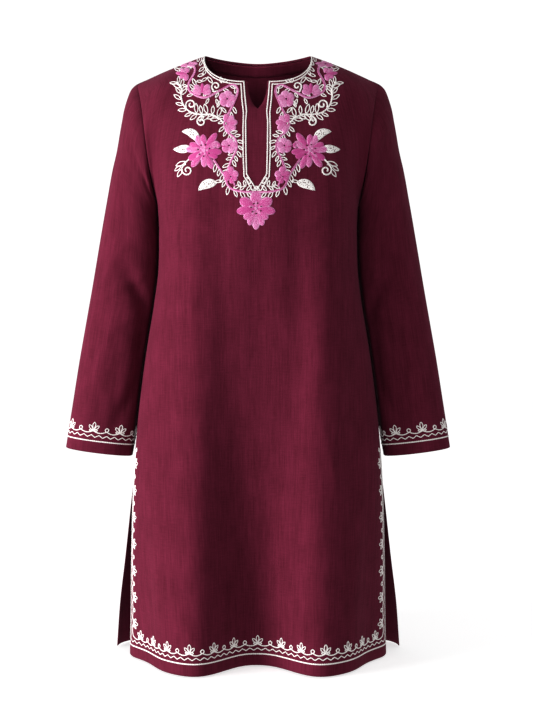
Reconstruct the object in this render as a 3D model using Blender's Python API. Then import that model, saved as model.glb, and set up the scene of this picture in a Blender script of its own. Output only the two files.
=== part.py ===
"""A kurta tunic, filled out as it is when worn, with nobody in it.

Front, back, two sleeves and the facing of the back neck are each one wall of cloth.
The origin is the middle of the shoulder line, +X is the wearer's left, the front faces
-Y and +Z is up. The side slits stay open below the hips, and so does the neck slit.
"""

from collections import namedtuple

import bpy
import numpy as np

# Cloth and making up, in metres
CLOTH = 0.0015
HEM_CLOTH = 0.0024
HEM_TURNING = 0.020
SEAM_GAP = 0.0003
FACING_CLOTH = 0.0012

# Driving sizes of the cut
LENGTH = 0.973
UNDERARM_DROP = 0.250
SIDE_SLIT_TOP = 0.667
SHOULDER_HALF = 0.198
SHOULDER_DROP = 0.0456
SHOULDER_BOW = 1.08
NECK_FRONT_DROP = 0.061
NECK_BACK_RISE = 0.001
NECK_SLOPE = 0.38
NECK_ROUND = 2.5
NECK_SLIT_BOTTOM = 0.109
NECK_SLIT_HALF = 0.0155
SLEEVE_CLEARANCE = 0.0040
CLEARANCE_GROWS_OVER = 0.10

# Share of a half panel's columns that end on the neckline, the rest end on the shoulder
NECK_SHARE = 0.4375
NECK_HALF = NECK_SHARE * SHOULDER_HALF

# How finely the walls are faceted
NECK_COLUMNS = 7
SHOULDER_COLUMNS = 9
SLIT_ROWS = 8
BODY_ROWS = 12
YOKE_ROWS = 14
SLEEVE_RINGS = 18
SLEEVE_RING_CROWDING = 1.35
HEM_STEP = 0.006
FACING_ROWS = 3
SHARP_DEGREES = 40

# Share of a seam's gap that each side is pulled back, and how far the facing stops short
SEAM_SHARE = 0.65
BODY_SEAM_LEAN = 0.5
ARMHOLE_LEAN = 0.85
FACING_SETBACK = 0.0020

# Level sections of the body, from the underarm to the hem
Section = namedtuple(
    "Section", "drop half_front front seam_front half_back back seam_back roundness"
)
SECTIONS = [
    Section(0.250, 0.1615, 0.118, 0.000, 0.1615, 0.097, 0.000, 2.35),
    Section(0.300, 0.1600, 0.117, 0.000, 0.1600, 0.092, 0.000, 2.35),
    Section(0.346, 0.1612, 0.114, 0.000, 0.1612, 0.090, 0.000, 2.30),
    Section(0.396, 0.1670, 0.113, 0.000, 0.1670, 0.093, 0.000, 2.30),
    Section(0.460, 0.1775, 0.114, 0.000, 0.1775, 0.102, 0.000, 2.25),
    Section(0.517, 0.1860, 0.116, 0.000, 0.1860, 0.112, 0.000, 2.20),
    Section(0.600, 0.1955, 0.119, 0.000, 0.1955, 0.122, 0.000, 2.20),
    Section(0.667, 0.2005, 0.121, 0.000, 0.2005, 0.127, 0.000, 2.20),
    Section(0.740, 0.2040, 0.124, 0.002, 0.2095, 0.131, 0.011, 2.15),
    Section(0.820, 0.2060, 0.127, 0.003, 0.2195, 0.134, 0.023, 2.10),
    Section(0.900, 0.2075, 0.131, 0.006, 0.2300, 0.137, 0.034, 2.00),
    Section(0.973, 0.2098, 0.134, 0.011, 0.2362, 0.140, 0.043, 1.95),
]

# Folds that hang down the body: a push toward +Y is a trough in front and a ridge behind
Fold = namedtuple("Fold", "x width push starts deepest")
FRONT_FOLDS = [
    Fold(0.000, 0.0620, 0.074, 0.270, 0.973),
    Fold(0.105, 0.0350, -0.005, 0.400, 0.973),
    Fold(-0.105, 0.0350, -0.005, 0.400, 0.973),
    Fold(0.183, 0.0260, 0.022, 0.690, 0.973),
    Fold(-0.183, 0.0260, 0.022, 0.690, 0.973),
]
BACK_FOLDS = [
    Fold(0.000, 0.0480, -0.030, 0.420, 0.973),
    Fold(0.120, 0.0400, 0.010, 0.480, 0.973),
    Fold(-0.120, 0.0400, 0.010, 0.480, 0.973),
    Fold(0.190, 0.0240, -0.014, 0.640, 0.973),
    Fold(-0.190, 0.0240, -0.014, 0.640, 0.973),
]
FOLD_SHARPNESS = 2.4
SEAM_HOLD = 6

# How each column of the yoke leaves the underarm level and arrives at its top edge
Guide = namedtuple("Guide", "across leave_x leave_y leave_z arrive_x arrive_y arrive_z")
FRONT_GUIDES = [
    Guide(0.00, 0.000, -0.004, 0.200, 0.000, 0.250, 0.120),
    Guide(0.4375, 0.000, -0.005, 0.220, 0.000, 0.295, 0.110),
    Guide(0.75, 0.010, -0.012, 0.220, 0.010, 0.320, 0.090),
    Guide(0.90, 0.025, -0.095, 0.195, 0.030, 0.275, 0.120),
    Guide(1.00, 0.045, -0.230, 0.170, 0.060, 0.200, 0.170),
]
BACK_GUIDES = [
    Guide(0.00, 0.000, 0.024, 0.250, 0.000, -0.345, 0.110),
    Guide(0.4375, 0.000, 0.020, 0.240, 0.000, -0.350, 0.100),
    Guide(0.75, 0.010, 0.014, 0.220, 0.010, -0.345, 0.090),
    Guide(0.90, 0.025, 0.100, 0.195, 0.030, -0.300, 0.120),
    Guide(1.00, 0.045, 0.250, 0.170, 0.060, -0.220, 0.170),
]

# Rings of a sleeve, from the armhole to the cuff, with run measured down its outer edge
Ring = namedtuple("Ring", "run outer_x outer_z inner_x inner_z middle_y half_depth")
SLEEVE = [
    Ring(0.000, 0.1980, -0.0456, 0.1615, -0.2500, 0.003, 0.059),
    Ring(0.014, 0.2075, -0.0554, 0.1605, -0.2525, 0.004, 0.059),
    Ring(0.031, 0.2140, -0.0717, 0.1595, -0.2555, 0.006, 0.059),
    Ring(0.048, 0.2189, -0.0880, 0.1585, -0.2590, 0.009, 0.059),
    Ring(0.065, 0.2222, -0.1043, 0.1580, -0.2630, 0.012, 0.058),
    Ring(0.081, 0.2254, -0.1206, 0.1575, -0.2680, 0.014, 0.058),
    Ring(0.114, 0.2315, -0.1532, 0.1570, -0.2790, 0.017, 0.057),
    Ring(0.147, 0.2390, -0.1858, 0.1560, -0.2920, 0.018, 0.056),
    Ring(0.197, 0.2480, -0.2347, 0.1530, -0.3130, 0.021, 0.054),
    Ring(0.263, 0.2598, -0.3000, 0.1520, -0.3470, 0.023, 0.051),
    Ring(0.329, 0.2712, -0.3651, 0.1570, -0.3940, 0.023, 0.048),
    Ring(0.395, 0.2822, -0.4303, 0.1650, -0.4510, 0.020, 0.046),
    Ring(0.461, 0.2930, -0.4955, 0.1750, -0.5110, 0.016, 0.043),
    Ring(0.527, 0.3025, -0.5607, 0.1860, -0.5750, 0.011, 0.040),
    Ring(0.603, 0.3135, -0.6365, 0.2040, -0.6505, 0.006, 0.037),
]
SLEEVE_LENGTH = SLEEVE[-1].run
SLEEVE_ROUNDNESS = 2.1
ARMHOLE_REACH = 0.090

# Troughs in a sleeve: turn is the angle from its outer edge round the front to its inner edge
Crease = namedtuple("Crease", "run turn push length width slant")
SLEEVE_CREASES = [
    Crease(0.335, 115, 0.0060, 0.060, 0.014, 0.55),
    Crease(0.430, 135, 0.0060, 0.070, 0.013, 0.10),
    Crease(0.520, 125, 0.0050, 0.045, 0.012, -0.30),
    Crease(0.350, 240, 0.0050, 0.070, 0.014, -0.40),
]
SLEEVE_RADIUS = 0.050

CLOTH_COLOUR = (0.105, 0.016, 0.032, 1.0)
INSIDE_COLOUR = (0.080, 0.013, 0.024, 1.0)
CLOTH_ROUGHNESS = 0.88


def clear_scene():
    for thing in list(bpy.data.objects):
        bpy.data.objects.remove(thing, do_unlink=True)


def column(rows, name):
    return np.array([getattr(row, name) for row in rows])


def hermite(share, start, end, leave, arrive):
    """The curve from start to end that leaves and arrives with the given tangents."""
    s2 = share * share
    s3 = s2 * share
    return (
        (2 * s3 - 3 * s2 + 1) * start
        + (s3 - 2 * s2 + share) * leave
        + (3 * s2 - 2 * s3) * end
        + (s3 - s2) * arrive
    )


def smooth(at, rows, place, name):
    """A column of a table, read as a smooth curve that never overshoots its rows."""
    places = column(rows, place)
    values = column(rows, name)
    steps = np.diff(places)
    slopes = np.diff(values) / steps
    product = slopes[1:] * slopes[:-1]
    total = np.where(product > 0, slopes[1:] + slopes[:-1], 1.0)
    inner = np.where(product > 0, 2 * product / total, 0.0)
    tangents = np.concatenate([[slopes[0]], inner, [slopes[-1]]])
    at = np.asarray(at, float)
    i = np.clip(np.searchsorted(places, at) - 1, 0, len(steps) - 1)
    share = np.clip((at - places[i]) / steps[i], 0, 1)
    leave = tangents[i] * steps[i]
    arrive = tangents[i + 1] * steps[i]
    return hermite(share, values[i], values[i + 1], leave, arrive)


def rounded(turn, roundness):
    """Sine and cosine of a rounded quarter turn, from 0 at the centre to 1 at the side."""
    quarter = np.clip(turn, 0, 1) * np.pi / 2
    power = 2 / roundness
    return np.sin(quarter) ** power, np.clip(np.cos(quarter), 0, 1) ** power


def folded(x, drop, folds):
    push = np.zeros(np.broadcast(x, drop).shape)
    for fold in folds:
        shape = np.exp(-np.abs((x - fold.x) / fold.width) ** FOLD_SHARPNESS)
        growth = np.clip((drop - fold.starts) / (fold.deepest - fold.starts), 0, 1)
        push = push + fold.push * shape * growth
    return push


def body_points(front, across, drop):
    """Points of the body below the underarms; across runs from -1 to 1 between side seams."""
    name = "front" if front else "back"
    half = smooth(drop, SECTIONS, "drop", "half_" + name)
    depth = smooth(drop, SECTIONS, "drop", name)
    seam = smooth(drop, SECTIONS, "drop", "seam_" + name)
    wide, deep = rounded(np.abs(across), smooth(drop, SECTIONS, "drop", "roundness"))
    x = np.sign(across) * half * wide
    if front:
        y = seam - (depth + seam) * deep
    else:
        y = seam + (depth - seam) * deep
    held = 1 - np.abs(across) ** SEAM_HOLD
    y = y + held * folded(x, drop, FRONT_FOLDS if front else BACK_FOLDS)
    return np.stack(np.broadcast_arrays(x, y, -drop), -1)


def shoulder_line(x):
    """Height of the shoulder seam, and of its line carried on across the open neck."""
    share = np.clip((x - NECK_HALF) / (SHOULDER_HALF - NECK_HALF), 0, 1)
    return NECK_SLOPE * np.clip(NECK_HALF - x, 0, None) - SHOULDER_DROP * share**SHOULDER_BOW


def neckline(front, x):
    """Height at which the neckline cuts a panel."""
    share = np.clip(x / NECK_HALF, 0, 1)
    deepest = -NECK_FRONT_DROP if front else NECK_BACK_RISE
    return deepest * (1 - share**NECK_ROUND) ** (1 / NECK_ROUND)


def yoke_column(front, across, up):
    """Points of the whole yoke, as if it closed over the neck along the shoulder line."""
    guides = FRONT_GUIDES if front else BACK_GUIDES
    start = body_points(front, across, np.full(np.shape(across), UNDERARM_DROP))
    x = SHOULDER_HALF * across
    end = np.stack([x, 0 * x, shoulder_line(x)], -1)
    tangents = [
        np.stack([smooth(across, guides, "across", f"{way}_{axis}") for axis in "xyz"], -1)
        for way in ("leave", "arrive")
    ]
    return hermite(up[..., None], start, end, *tangents)


def neck_end(front, across):
    """How far up each column the neckline cuts it, found by halving."""
    low = np.zeros(np.shape(across))
    high = np.ones(np.shape(across))
    for _ in range(30):
        middle = (low + high) / 2
        points = yoke_column(front, across, middle)
        above = points[..., 2] > neckline(front, points[..., 0])
        low, high = np.where(above, low, middle), np.where(above, middle, high)
    return np.where(across < NECK_SHARE - 1e-9, high, 1.0)


def neck_slit(z):
    """Half the width by which the neck slit has fallen open at a height."""
    share = np.clip((-NECK_FRONT_DROP - z) / (NECK_SLIT_BOTTOM - NECK_FRONT_DROP), 0, 1)
    return NECK_SLIT_HALF * (1 - share**2.2) ** 0.75


def yoke_points(front, across, up):
    """Points from the underarm level, at up 0, to the neckline and shoulders, at up 1."""
    out = np.abs(across)
    points = yoke_column(front, out, up * neck_end(front, out))
    if front:
        fade = np.clip(1 - points[..., 0] / NECK_HALF, 0, 1)
        points[..., 0] += neck_slit(points[..., 2]) * fade
    points[..., 0] *= np.where(across < 0, -1, 1)
    return points


def body_reach(y, z):
    """How far out the body's side lies at a depth and height, or 0 where it doesn't reach."""
    drop = np.clip(-z, UNDERARM_DROP, LENGTH)
    half = smooth(drop, SECTIONS, "drop", "half_front")
    front = smooth(drop, SECTIONS, "drop", "front")
    back = smooth(drop, SECTIONS, "drop", "back")
    roundness = smooth(drop, SECTIONS, "drop", "roundness")
    share = np.abs(y) / np.where(y < 0, front, back)
    return half * np.clip(1 - share**roundness, 0, 1) ** (1 / roundness)


def creased(run, turn):
    """How far a sleeve's creases pull its cloth in."""
    pull = np.zeros(np.broadcast(run, turn).shape)
    for crease in SLEEVE_CREASES:
        down = run - crease.run
        round_it = SLEEVE_RADIUS * (turn - np.radians(crease.turn))
        along = (down + crease.slant * round_it) / crease.length
        across = (round_it - crease.slant * down) / crease.width
        pull = pull + crease.push * np.exp(-(along**2) - across**2)
    return pull


def sleeve_ring(run, turn):
    """Points of a bare sleeve ring at each run, turn 0 on its outer edge and front first."""
    read = {
        name: smooth(run, SLEEVE, "run", name)
        for name in ("outer_x", "outer_z", "inner_x", "inner_z", "middle_y", "half_depth")
    }
    power = 2 / SLEEVE_ROUNDNESS
    cos = np.sign(np.cos(turn)) * np.abs(np.cos(turn)) ** power
    sin = np.sign(np.sin(turn)) * np.abs(np.sin(turn)) ** power
    x = (read["outer_x"] + read["inner_x"]) / 2
    z = (read["outer_z"] + read["inner_z"]) / 2
    middle = np.stack(np.broadcast_arrays(x, read["middle_y"], z), -1)
    x = x + (read["outer_x"] - read["inner_x"]) / 2 * cos
    z = z + (read["outer_z"] - read["inner_z"]) / 2 * cos
    y = read["middle_y"] - read["half_depth"] * sin
    points = np.stack(np.broadcast_arrays(x, y, z), -1)
    away = points - middle
    away = away / np.linalg.norm(away, axis=-1, keepdims=True)
    return points - away * creased(run, turn)[..., None]


def sleeve_points(runs, ups):
    """The wearer's left sleeve: a row for each run, round the armhole's own points."""
    count = len(ups) - 1
    armhole_ups = np.concatenate([ups[::-1], ups[1:-1]])
    is_front = np.arange(2 * count) <= count
    side = np.ones(2 * count)
    armhole = np.where(
        is_front[:, None],
        yoke_points(True, side, armhole_ups),
        yoke_points(False, side, armhole_ups),
    )
    even = np.arange(2 * count) * np.pi / count
    own = np.arccos(2 * armhole_ups - 1)
    own = np.where(is_front, own, 2 * np.pi - own)
    runs = runs[:, None]
    near = np.clip(1 - runs / ARMHOLE_REACH, 0, 1) ** 2
    turn = own * near + even * (1 - near)
    points = sleeve_ring(runs, turn)
    points += near[..., None] * (armhole - sleeve_ring(np.zeros((1, 1)), own[None]))
    share = np.clip((-UNDERARM_DROP - points[..., 2]) / CLEARANCE_GROWS_OVER, 0, 1)
    clearance = SEAM_GAP + (SLEEVE_CLEARANCE - SEAM_GAP) * share
    reach = body_reach(points[..., 1], points[..., 2]) + clearance
    softness = 0.003 * (1 - near) + 1e-5
    room = (points[..., 0] - reach) / softness
    pushed = reach + softness * np.logaddexp(0, np.clip(room, -50, 50))
    beside = (points[..., 2] < -UNDERARM_DROP) & (near < 1) & (room < 50)
    points[..., 0] = np.where(beside, pushed, points[..., 0])
    return points


def grid_normals(points, closed):
    """Unit normals of a grid of points, whose second index may run round a ring."""
    if closed:
        ahead = np.roll(points, -1, 1)
        behind = np.roll(points, 1, 1)
    else:
        ahead = np.concatenate([points[:, 1:], points[:, -1:]], 1)
        behind = np.concatenate([points[:, :1], points[:, :-1]], 1)
    above = np.concatenate([points[1:], points[-1:]], 0)
    below = np.concatenate([points[:1], points[:-1]], 0)
    normals = np.cross(ahead - behind, above - below)
    return normals / np.linalg.norm(normals, axis=-1, keepdims=True)


def unit(vectors):
    return vectors / np.maximum(np.linalg.norm(vectors, axis=-1, keepdims=True), 1e-12)


def keys_of(points):
    return [tuple(np.round(point, 6) + 0.0) for point in points.reshape(-1, 3)]


def seam_normals(pieces, least_lean):
    """Normals shared along the seams that bring the points of two pieces together.

    Where the two pieces lean further apart than least_lean, each keeps its own.
    """
    total = {}
    for points, normals in pieces.values():
        for key, normal in zip(keys_of(points), unit(normals).reshape(-1, 3)):
            total.setdefault(key, []).append(normal)
    shared = {}
    for name, (points, normals) in pieces.items():
        sums = [np.sum(total[key], 0) for key in keys_of(points)]
        alone = np.array([len(total[key]) < 2 for key in keys_of(points)])
        alone = alone.reshape(points.shape[:2])[..., None]
        middle = unit(np.array(sums)).reshape(points.shape)
        lean = (middle * unit(normals)).sum(-1, keepdims=True)
        keep = alone | (lean < least_lean)
        shared[name] = np.where(keep, normals, middle / np.maximum(lean, least_lean))
    return shared


def pulled_back(points, neighbours):
    """Moves a line of points toward the next line, to leave half the gap of a seam."""
    return points + unit(neighbours - points) * SEAM_GAP * SEAM_SHARE


def cloth_object(name, corners, faces, colour):
    mesh = bpy.data.meshes.new(name)
    mesh.from_pydata(corners.tolist(), [], faces)
    mesh.update()
    mesh.shade_smooth()
    mesh.set_sharp_from_angle(angle=np.radians(SHARP_DEGREES))
    material = bpy.data.materials.new(name + "_cloth")
    material.use_nodes = True
    shader = material.node_tree.nodes["Principled BSDF"]
    shader.inputs["Base Color"].default_value = colour
    shader.inputs["Roughness"].default_value = CLOTH_ROUGHNESS
    shader.inputs["Metallic"].default_value = 0.0
    mesh.materials.append(material)
    piece = bpy.data.objects.new(name, mesh)
    bpy.context.scene.collection.objects.link(piece)
    return piece


def walled(name, outer, inward, patches, colour=CLOTH_COLOUR):
    """A wall of cloth between its outer points and the same points moved inward.

    Each patch is a grid of point numbers, and patches share the numbers of sewn points.
    """
    count = outer.size // 3
    corners = np.concatenate([outer.reshape(-1, 3), (outer + inward).reshape(-1, 3)])
    faces = []
    for grid in patches:
        low, next_low = grid[:-1, :-1].ravel(), grid[:-1, 1:].ravel()
        high, next_high = grid[1:, :-1].ravel(), grid[1:, 1:].ravel()
        for a, b, c, d in zip(low.tolist(), next_low.tolist(), next_high.tolist(), high.tolist()):
            faces += [[a, b, c], [a, c, d]]
    edges = {(face[i], face[(i + 1) % 3]) for face in faces for i in range(3)}
    faces += [[corner + count for corner in reversed(face)] for face in faces]
    for a, b in sorted(edges):
        if (b, a) not in edges:
            faces += [[b, a, a + count], [b, a + count, b + count]]
    used = sorted({corner for face in faces for corner in face})
    place = {corner: i for i, corner in enumerate(used)}
    faces = [[place[corner] for corner in face] for face in faces]
    return cloth_object(name, corners[used], faces, colour)


def mirrored_halves(numbers, last, first):
    """Both halves of a panel's grid, the second turned so that their facets mirror."""
    return [numbers[:, : last + 1], np.rot90(numbers[:, first:])]


def slit_bottom_up():
    """How far up the centre column the bottom of the neck slit lies."""
    ups = np.linspace(0, 1, 400)
    z = yoke_points(True, np.zeros(400), ups)[:, 2]
    return float(np.interp(-NECK_SLIT_BOTTOM, z, ups))


def yoke_rows():
    """Rows of the yoke, closer at its ends, with one at the bottom of the neck slit."""
    share = np.arange(YOKE_ROWS + 1) / YOKE_ROWS
    ups = 0.5 * share + 0.25 * (1 - np.cos(np.pi * share))
    slit_row = int(np.argmin(np.abs(ups - slit_bottom_up())))
    ups[slit_row] = slit_bottom_up()
    return ups, slit_row


def body_rows():
    """Drops of the rows from the hem to the underarm, two of them on the hem's turning."""
    above_hem = LENGTH - HEM_TURNING
    slit = np.linspace(above_hem - HEM_STEP, SIDE_SLIT_TOP, SLIT_ROWS)
    body = np.linspace(SIDE_SLIT_TOP, UNDERARM_DROP, BODY_ROWS)
    return np.concatenate([[LENGTH, above_hem], slit, body[1:]])


def sleeve_runs():
    """Runs of a sleeve's rings, closer at the armhole, two of them on the cuff's turning."""
    above_hem = SLEEVE_LENGTH - HEM_TURNING
    share = np.arange(SLEEVE_RINGS + 1) / SLEEVE_RINGS
    rings = (above_hem - HEM_STEP) * share**SLEEVE_RING_CROWDING
    return np.concatenate([rings, [above_hem, SLEEVE_LENGTH]])


def half_columns():
    """Where the columns of half a panel lie, closer where the neckline turns up."""
    turn = np.arange(NECK_COLUMNS) / NECK_COLUMNS * np.pi / 2
    shoulder = np.linspace(NECK_SHARE, 1, SHOULDER_COLUMNS + 1)
    return np.concatenate([NECK_SHARE * np.sin(turn), shoulder])


def panel_points(front, across, drops, ups):
    below = body_points(front, across[None], drops[:, None])
    above = yoke_points(front, *np.broadcast_arrays(across[None], ups[1:, None]))
    return np.concatenate([below, above])


def panel_inset(points, on_shoulder):
    """Pulls a panel back from its side seams, its armholes and its shoulder seams."""
    eased = points.copy()
    eased[:, 0] = pulled_back(points[:, 0], points[:, 1])
    eased[:, -1] = pulled_back(points[:, -1], points[:, -2])
    eased[-1, on_shoulder] = pulled_back(eased[-1, on_shoulder], eased[-2, on_shoulder])
    return eased


def set_back(lines, neighbours):
    """Points and their normals, moved toward the next line so that an edge stops short."""
    length = np.linalg.norm((neighbours - lines)[..., :3], axis=-1, keepdims=True)
    return lines + (neighbours - lines) * FACING_SETBACK / length


def make_facing(back, normals, on_neck):
    """The back neck facing: the back's own top rows along its neckline, moved inward."""
    rows = np.concatenate([back, normals], -1)[-FACING_ROWS:, on_neck]
    rows[-1] = set_back(rows[-1], rows[-2])
    rows[:, 0] = set_back(rows[:, 0], rows[:, 1])
    rows[:, -1] = set_back(rows[:, -1], rows[:, -2])
    rows, lift = rows[..., :3], rows[..., 3:]
    outer = rows - lift * (CLOTH + SEAM_GAP)
    numbers = np.arange(outer.size // 3).reshape(outer.shape[:2])
    halves = mirrored_halves(numbers, NECK_COLUMNS, NECK_COLUMNS)
    walled("back_neck_facing", outer, -lift * FACING_CLOTH, halves, INSIDE_COLOUR)


def main():
    clear_scene()
    drops = body_rows()
    ups, slit_row = yoke_rows()
    runs = sleeve_runs()

    half = half_columns()
    left_half = panel_points(True, half, drops, ups)
    right_half = (left_half * (-1, 1, 1))[:, ::-1]
    front = np.concatenate([right_half, left_half], 1)
    back = panel_points(False, np.concatenate([half[::-1], -half[1:]]), drops, ups)
    sleeve = sleeve_points(runs, ups)
    other_sleeve = (sleeve * (-1, 1, 1))[:, ::-1]

    front_normals = [grid_normals(part, False) for part in (right_half, left_half)]
    sewn_back = back.copy()
    sewn_back[: len(drops), 0] = front[: len(drops), -1]
    sewn_back[: len(drops), -1] = front[: len(drops), 0]
    body = {
        "front": (front, np.concatenate(front_normals, 1)),
        "back": (sewn_back, grid_normals(back, False)),
    }
    normals = seam_normals(body, BODY_SEAM_LEAN)
    edges = (slice(len(drops) - 1, None), [0, -1])
    armholes = {
        "front": (front[edges], normals["front"][edges]),
        "back": (back[edges], normals["back"][edges]),
        "sleeve_left": (sleeve, grid_normals(sleeve, True)),
        "sleeve_right": (other_sleeve, grid_normals(other_sleeve, True)),
    }
    sewn = seam_normals(armholes, ARMHOLE_LEAN)
    for name, own in sewn.items():
        if name in normals:
            normals[name][edges] = own
        else:
            normals[name] = own

    panel_cloth = np.full((len(front), 1, 1), CLOTH)
    panel_cloth[:2] = HEM_CLOTH
    sleeve_cloth = np.full((len(runs), 1, 1), CLOTH)
    sleeve_cloth[-2:] = HEM_CLOTH

    numbers = np.arange(front.size // 3).reshape(front.shape[:2])
    middle = len(half) - 1
    last_sewn_row = len(drops) - 1 + slit_row
    numbers[: last_sewn_row + 1, middle + 1] = numbers[: last_sewn_row + 1, middle]
    halves = mirrored_halves(numbers, middle, middle + 1)
    beyond_neck = half >= NECK_SHARE - 1e-9
    eased = panel_inset(front, np.concatenate([beyond_neck[::-1], beyond_neck]))
    walled("front", eased, -normals["front"] * panel_cloth, halves)

    numbers = np.arange(back.size // 3).reshape(back.shape[:2])
    eased = panel_inset(back, np.concatenate([beyond_neck[::-1], beyond_neck[1:]]))
    halves = mirrored_halves(numbers, middle, middle)
    walled("back", eased, -normals["back"] * panel_cloth, halves)

    for name, points, side in (("sleeve_left", sleeve, 1), ("sleeve_right", other_sleeve, -1)):
        numbers = np.arange(points.size // 3).reshape(points.shape[:2])
        numbers = np.concatenate([numbers, numbers[:, :1]], 1)
        eased = points.copy()
        eased[0] = pulled_back(points[0], points[1])
        eased[..., 0] += side * SEAM_GAP * SEAM_SHARE
        walled(name, eased, -normals[name] * sleeve_cloth, [numbers])

    on_neck = half <= NECK_SHARE + 1e-9
    on_neck = np.concatenate([on_neck[::-1], on_neck[1:]])
    make_facing(back, normals["back"], on_neck)


if __name__ == "__main__":
    main()
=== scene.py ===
# %% [markdown]
# # A kurta tunic, dressed for its photograph
#
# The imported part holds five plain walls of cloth. Here each wall becomes a thin, softly
# creased shell of linen, and white and pink thread is sewn on it. Sizes are in metres. The
# origin is the middle of the shoulder line, +X is the wearer's left, the front faces -Y.

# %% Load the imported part
from collections import namedtuple

import bpy
import numpy as np
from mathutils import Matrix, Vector
from mathutils.bvhtree import BVHTree


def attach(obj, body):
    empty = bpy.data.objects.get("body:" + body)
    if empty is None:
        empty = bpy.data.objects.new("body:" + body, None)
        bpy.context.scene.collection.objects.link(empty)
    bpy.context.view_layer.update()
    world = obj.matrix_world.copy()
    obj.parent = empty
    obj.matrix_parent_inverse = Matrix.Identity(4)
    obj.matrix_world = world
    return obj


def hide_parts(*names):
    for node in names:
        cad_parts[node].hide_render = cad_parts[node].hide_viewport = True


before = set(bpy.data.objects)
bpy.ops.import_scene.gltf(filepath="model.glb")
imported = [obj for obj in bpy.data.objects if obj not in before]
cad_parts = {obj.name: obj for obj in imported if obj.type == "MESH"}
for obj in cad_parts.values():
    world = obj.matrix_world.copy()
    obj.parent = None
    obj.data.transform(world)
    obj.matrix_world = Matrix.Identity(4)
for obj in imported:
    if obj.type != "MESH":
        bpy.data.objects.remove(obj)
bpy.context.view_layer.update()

print("packed nodes:", ", ".join(sorted(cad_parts)))

# %% [markdown]
# ## The cut
#
# A kurta is cut from a few measures: its length, shoulders, underarms, slits and hem. The
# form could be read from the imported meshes, but tables show what each number does. These
# are the part's own, so each shell lies on its own solid. A row of SECTIONS is a level
# ring of the body, and a row of SLEEVE is a loop round a sleeve.

# %% Driving sizes
MM = 0.001
LENGTH = 0.973
UNDERARM_DROP = 0.250
SIDE_SLIT_TOP = 0.667
SHOULDER_HALF = 0.198
SHOULDER_DROP = 0.0456
SHOULDER_BOW = 1.08
NECK_FRONT_DROP = 0.061
NECK_BACK_RISE = 0.001
NECK_SLOPE = 0.38
NECK_ROUND = 2.5
NECK_SLIT_BOTTOM = 0.109
NECK_SLIT_HALF = 0.0155
NECK_SHARE = 0.4375
NECK_HALVINGS = 30
NECK_HALF = NECK_SHARE * SHOULDER_HALF
SEAM_GAP = 0.0003
SLEEVE_CLEARANCE = 0.0040
CLEARANCE_GROWS_OVER = 0.10
HEM_TURNING = 0.020
CLOTH = 0.0009
HEM_CLOTH = 0.0017


def table(fields, *rows):
    """Rows of numbers, each with its fields named."""
    row = namedtuple("row", fields)
    return [row(*values) for values in rows]


SECTIONS = table(
    "drop half_front front seam_front half_back back seam_back roundness",
    (0.25, 0.1615, 0.118, 0, 0.1615, 0.097, 0, 2.35),
    (0.3, 0.16, 0.117, 0, 0.16, 0.092, 0, 2.35),
    (0.346, 0.1612, 0.114, 0, 0.1612, 0.09, 0, 2.3),
    (0.396, 0.167, 0.113, 0, 0.167, 0.093, 0, 2.3),
    (0.46, 0.1775, 0.114, 0, 0.1775, 0.102, 0, 2.25),
    (0.517, 0.186, 0.116, 0, 0.186, 0.112, 0, 2.2),
    (0.6, 0.1955, 0.119, 0, 0.1955, 0.122, 0, 2.2),
    (0.667, 0.2005, 0.121, 0, 0.2005, 0.127, 0, 2.2),
    (0.74, 0.204, 0.124, 0.002, 0.2095, 0.131, 0.011, 2.15),
    (0.82, 0.206, 0.127, 0.003, 0.2195, 0.134, 0.023, 2.1),
    (0.9, 0.2075, 0.131, 0.006, 0.23, 0.137, 0.034, 2.0),
    (0.973, 0.2098, 0.134, 0.011, 0.2362, 0.14, 0.043, 1.95),
)

# A push toward +Y is a trough in front and a ridge behind
FOLD = "x width push starts deepest"
FRONT_FOLDS = table(
    FOLD,
    (0, 0.062, 0.074, 0.27, 0.973), (0.105, 0.035, -0.005, 0.4, 0.973),
    (-0.105, 0.035, -0.005, 0.4, 0.973), (0.183, 0.026, 0.022, 0.69, 0.973),
    (-0.183, 0.026, 0.022, 0.69, 0.973),
)
BACK_FOLDS = table(
    FOLD,
    (0, 0.048, -0.03, 0.42, 0.973), (0.12, 0.04, 0.01, 0.48, 0.973),
    (-0.12, 0.04, 0.01, 0.48, 0.973), (0.19, 0.024, -0.014, 0.64, 0.973),
    (-0.19, 0.024, -0.014, 0.64, 0.973),
)
FOLD_SHARPNESS = 2.4
SEAM_HOLD = 6

# How each column of the yoke leaves the underarm level and arrives at its top edge
GUIDE = "across leave_x leave_y leave_z arrive_x arrive_y arrive_z"
FRONT_GUIDES = table(
    GUIDE,
    (0, 0, -0.004, 0.2, 0, 0.25, 0.12),
    (0.4375, 0, -0.005, 0.22, 0, 0.295, 0.11),
    (0.75, 0.01, -0.012, 0.22, 0.01, 0.32, 0.09),
    (0.9, 0.025, -0.095, 0.195, 0.03, 0.275, 0.12),
    (1.0, 0.045, -0.23, 0.17, 0.06, 0.2, 0.17),
)
BACK_GUIDES = table(
    GUIDE,
    (0, 0, 0.024, 0.25, 0, -0.345, 0.11),
    (0.4375, 0, 0.02, 0.24, 0, -0.35, 0.1),
    (0.75, 0.01, 0.014, 0.22, 0.01, -0.345, 0.09),
    (0.9, 0.025, 0.1, 0.195, 0.03, -0.3, 0.12),
    (1.0, 0.045, 0.25, 0.17, 0.06, -0.22, 0.17),
)

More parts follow.
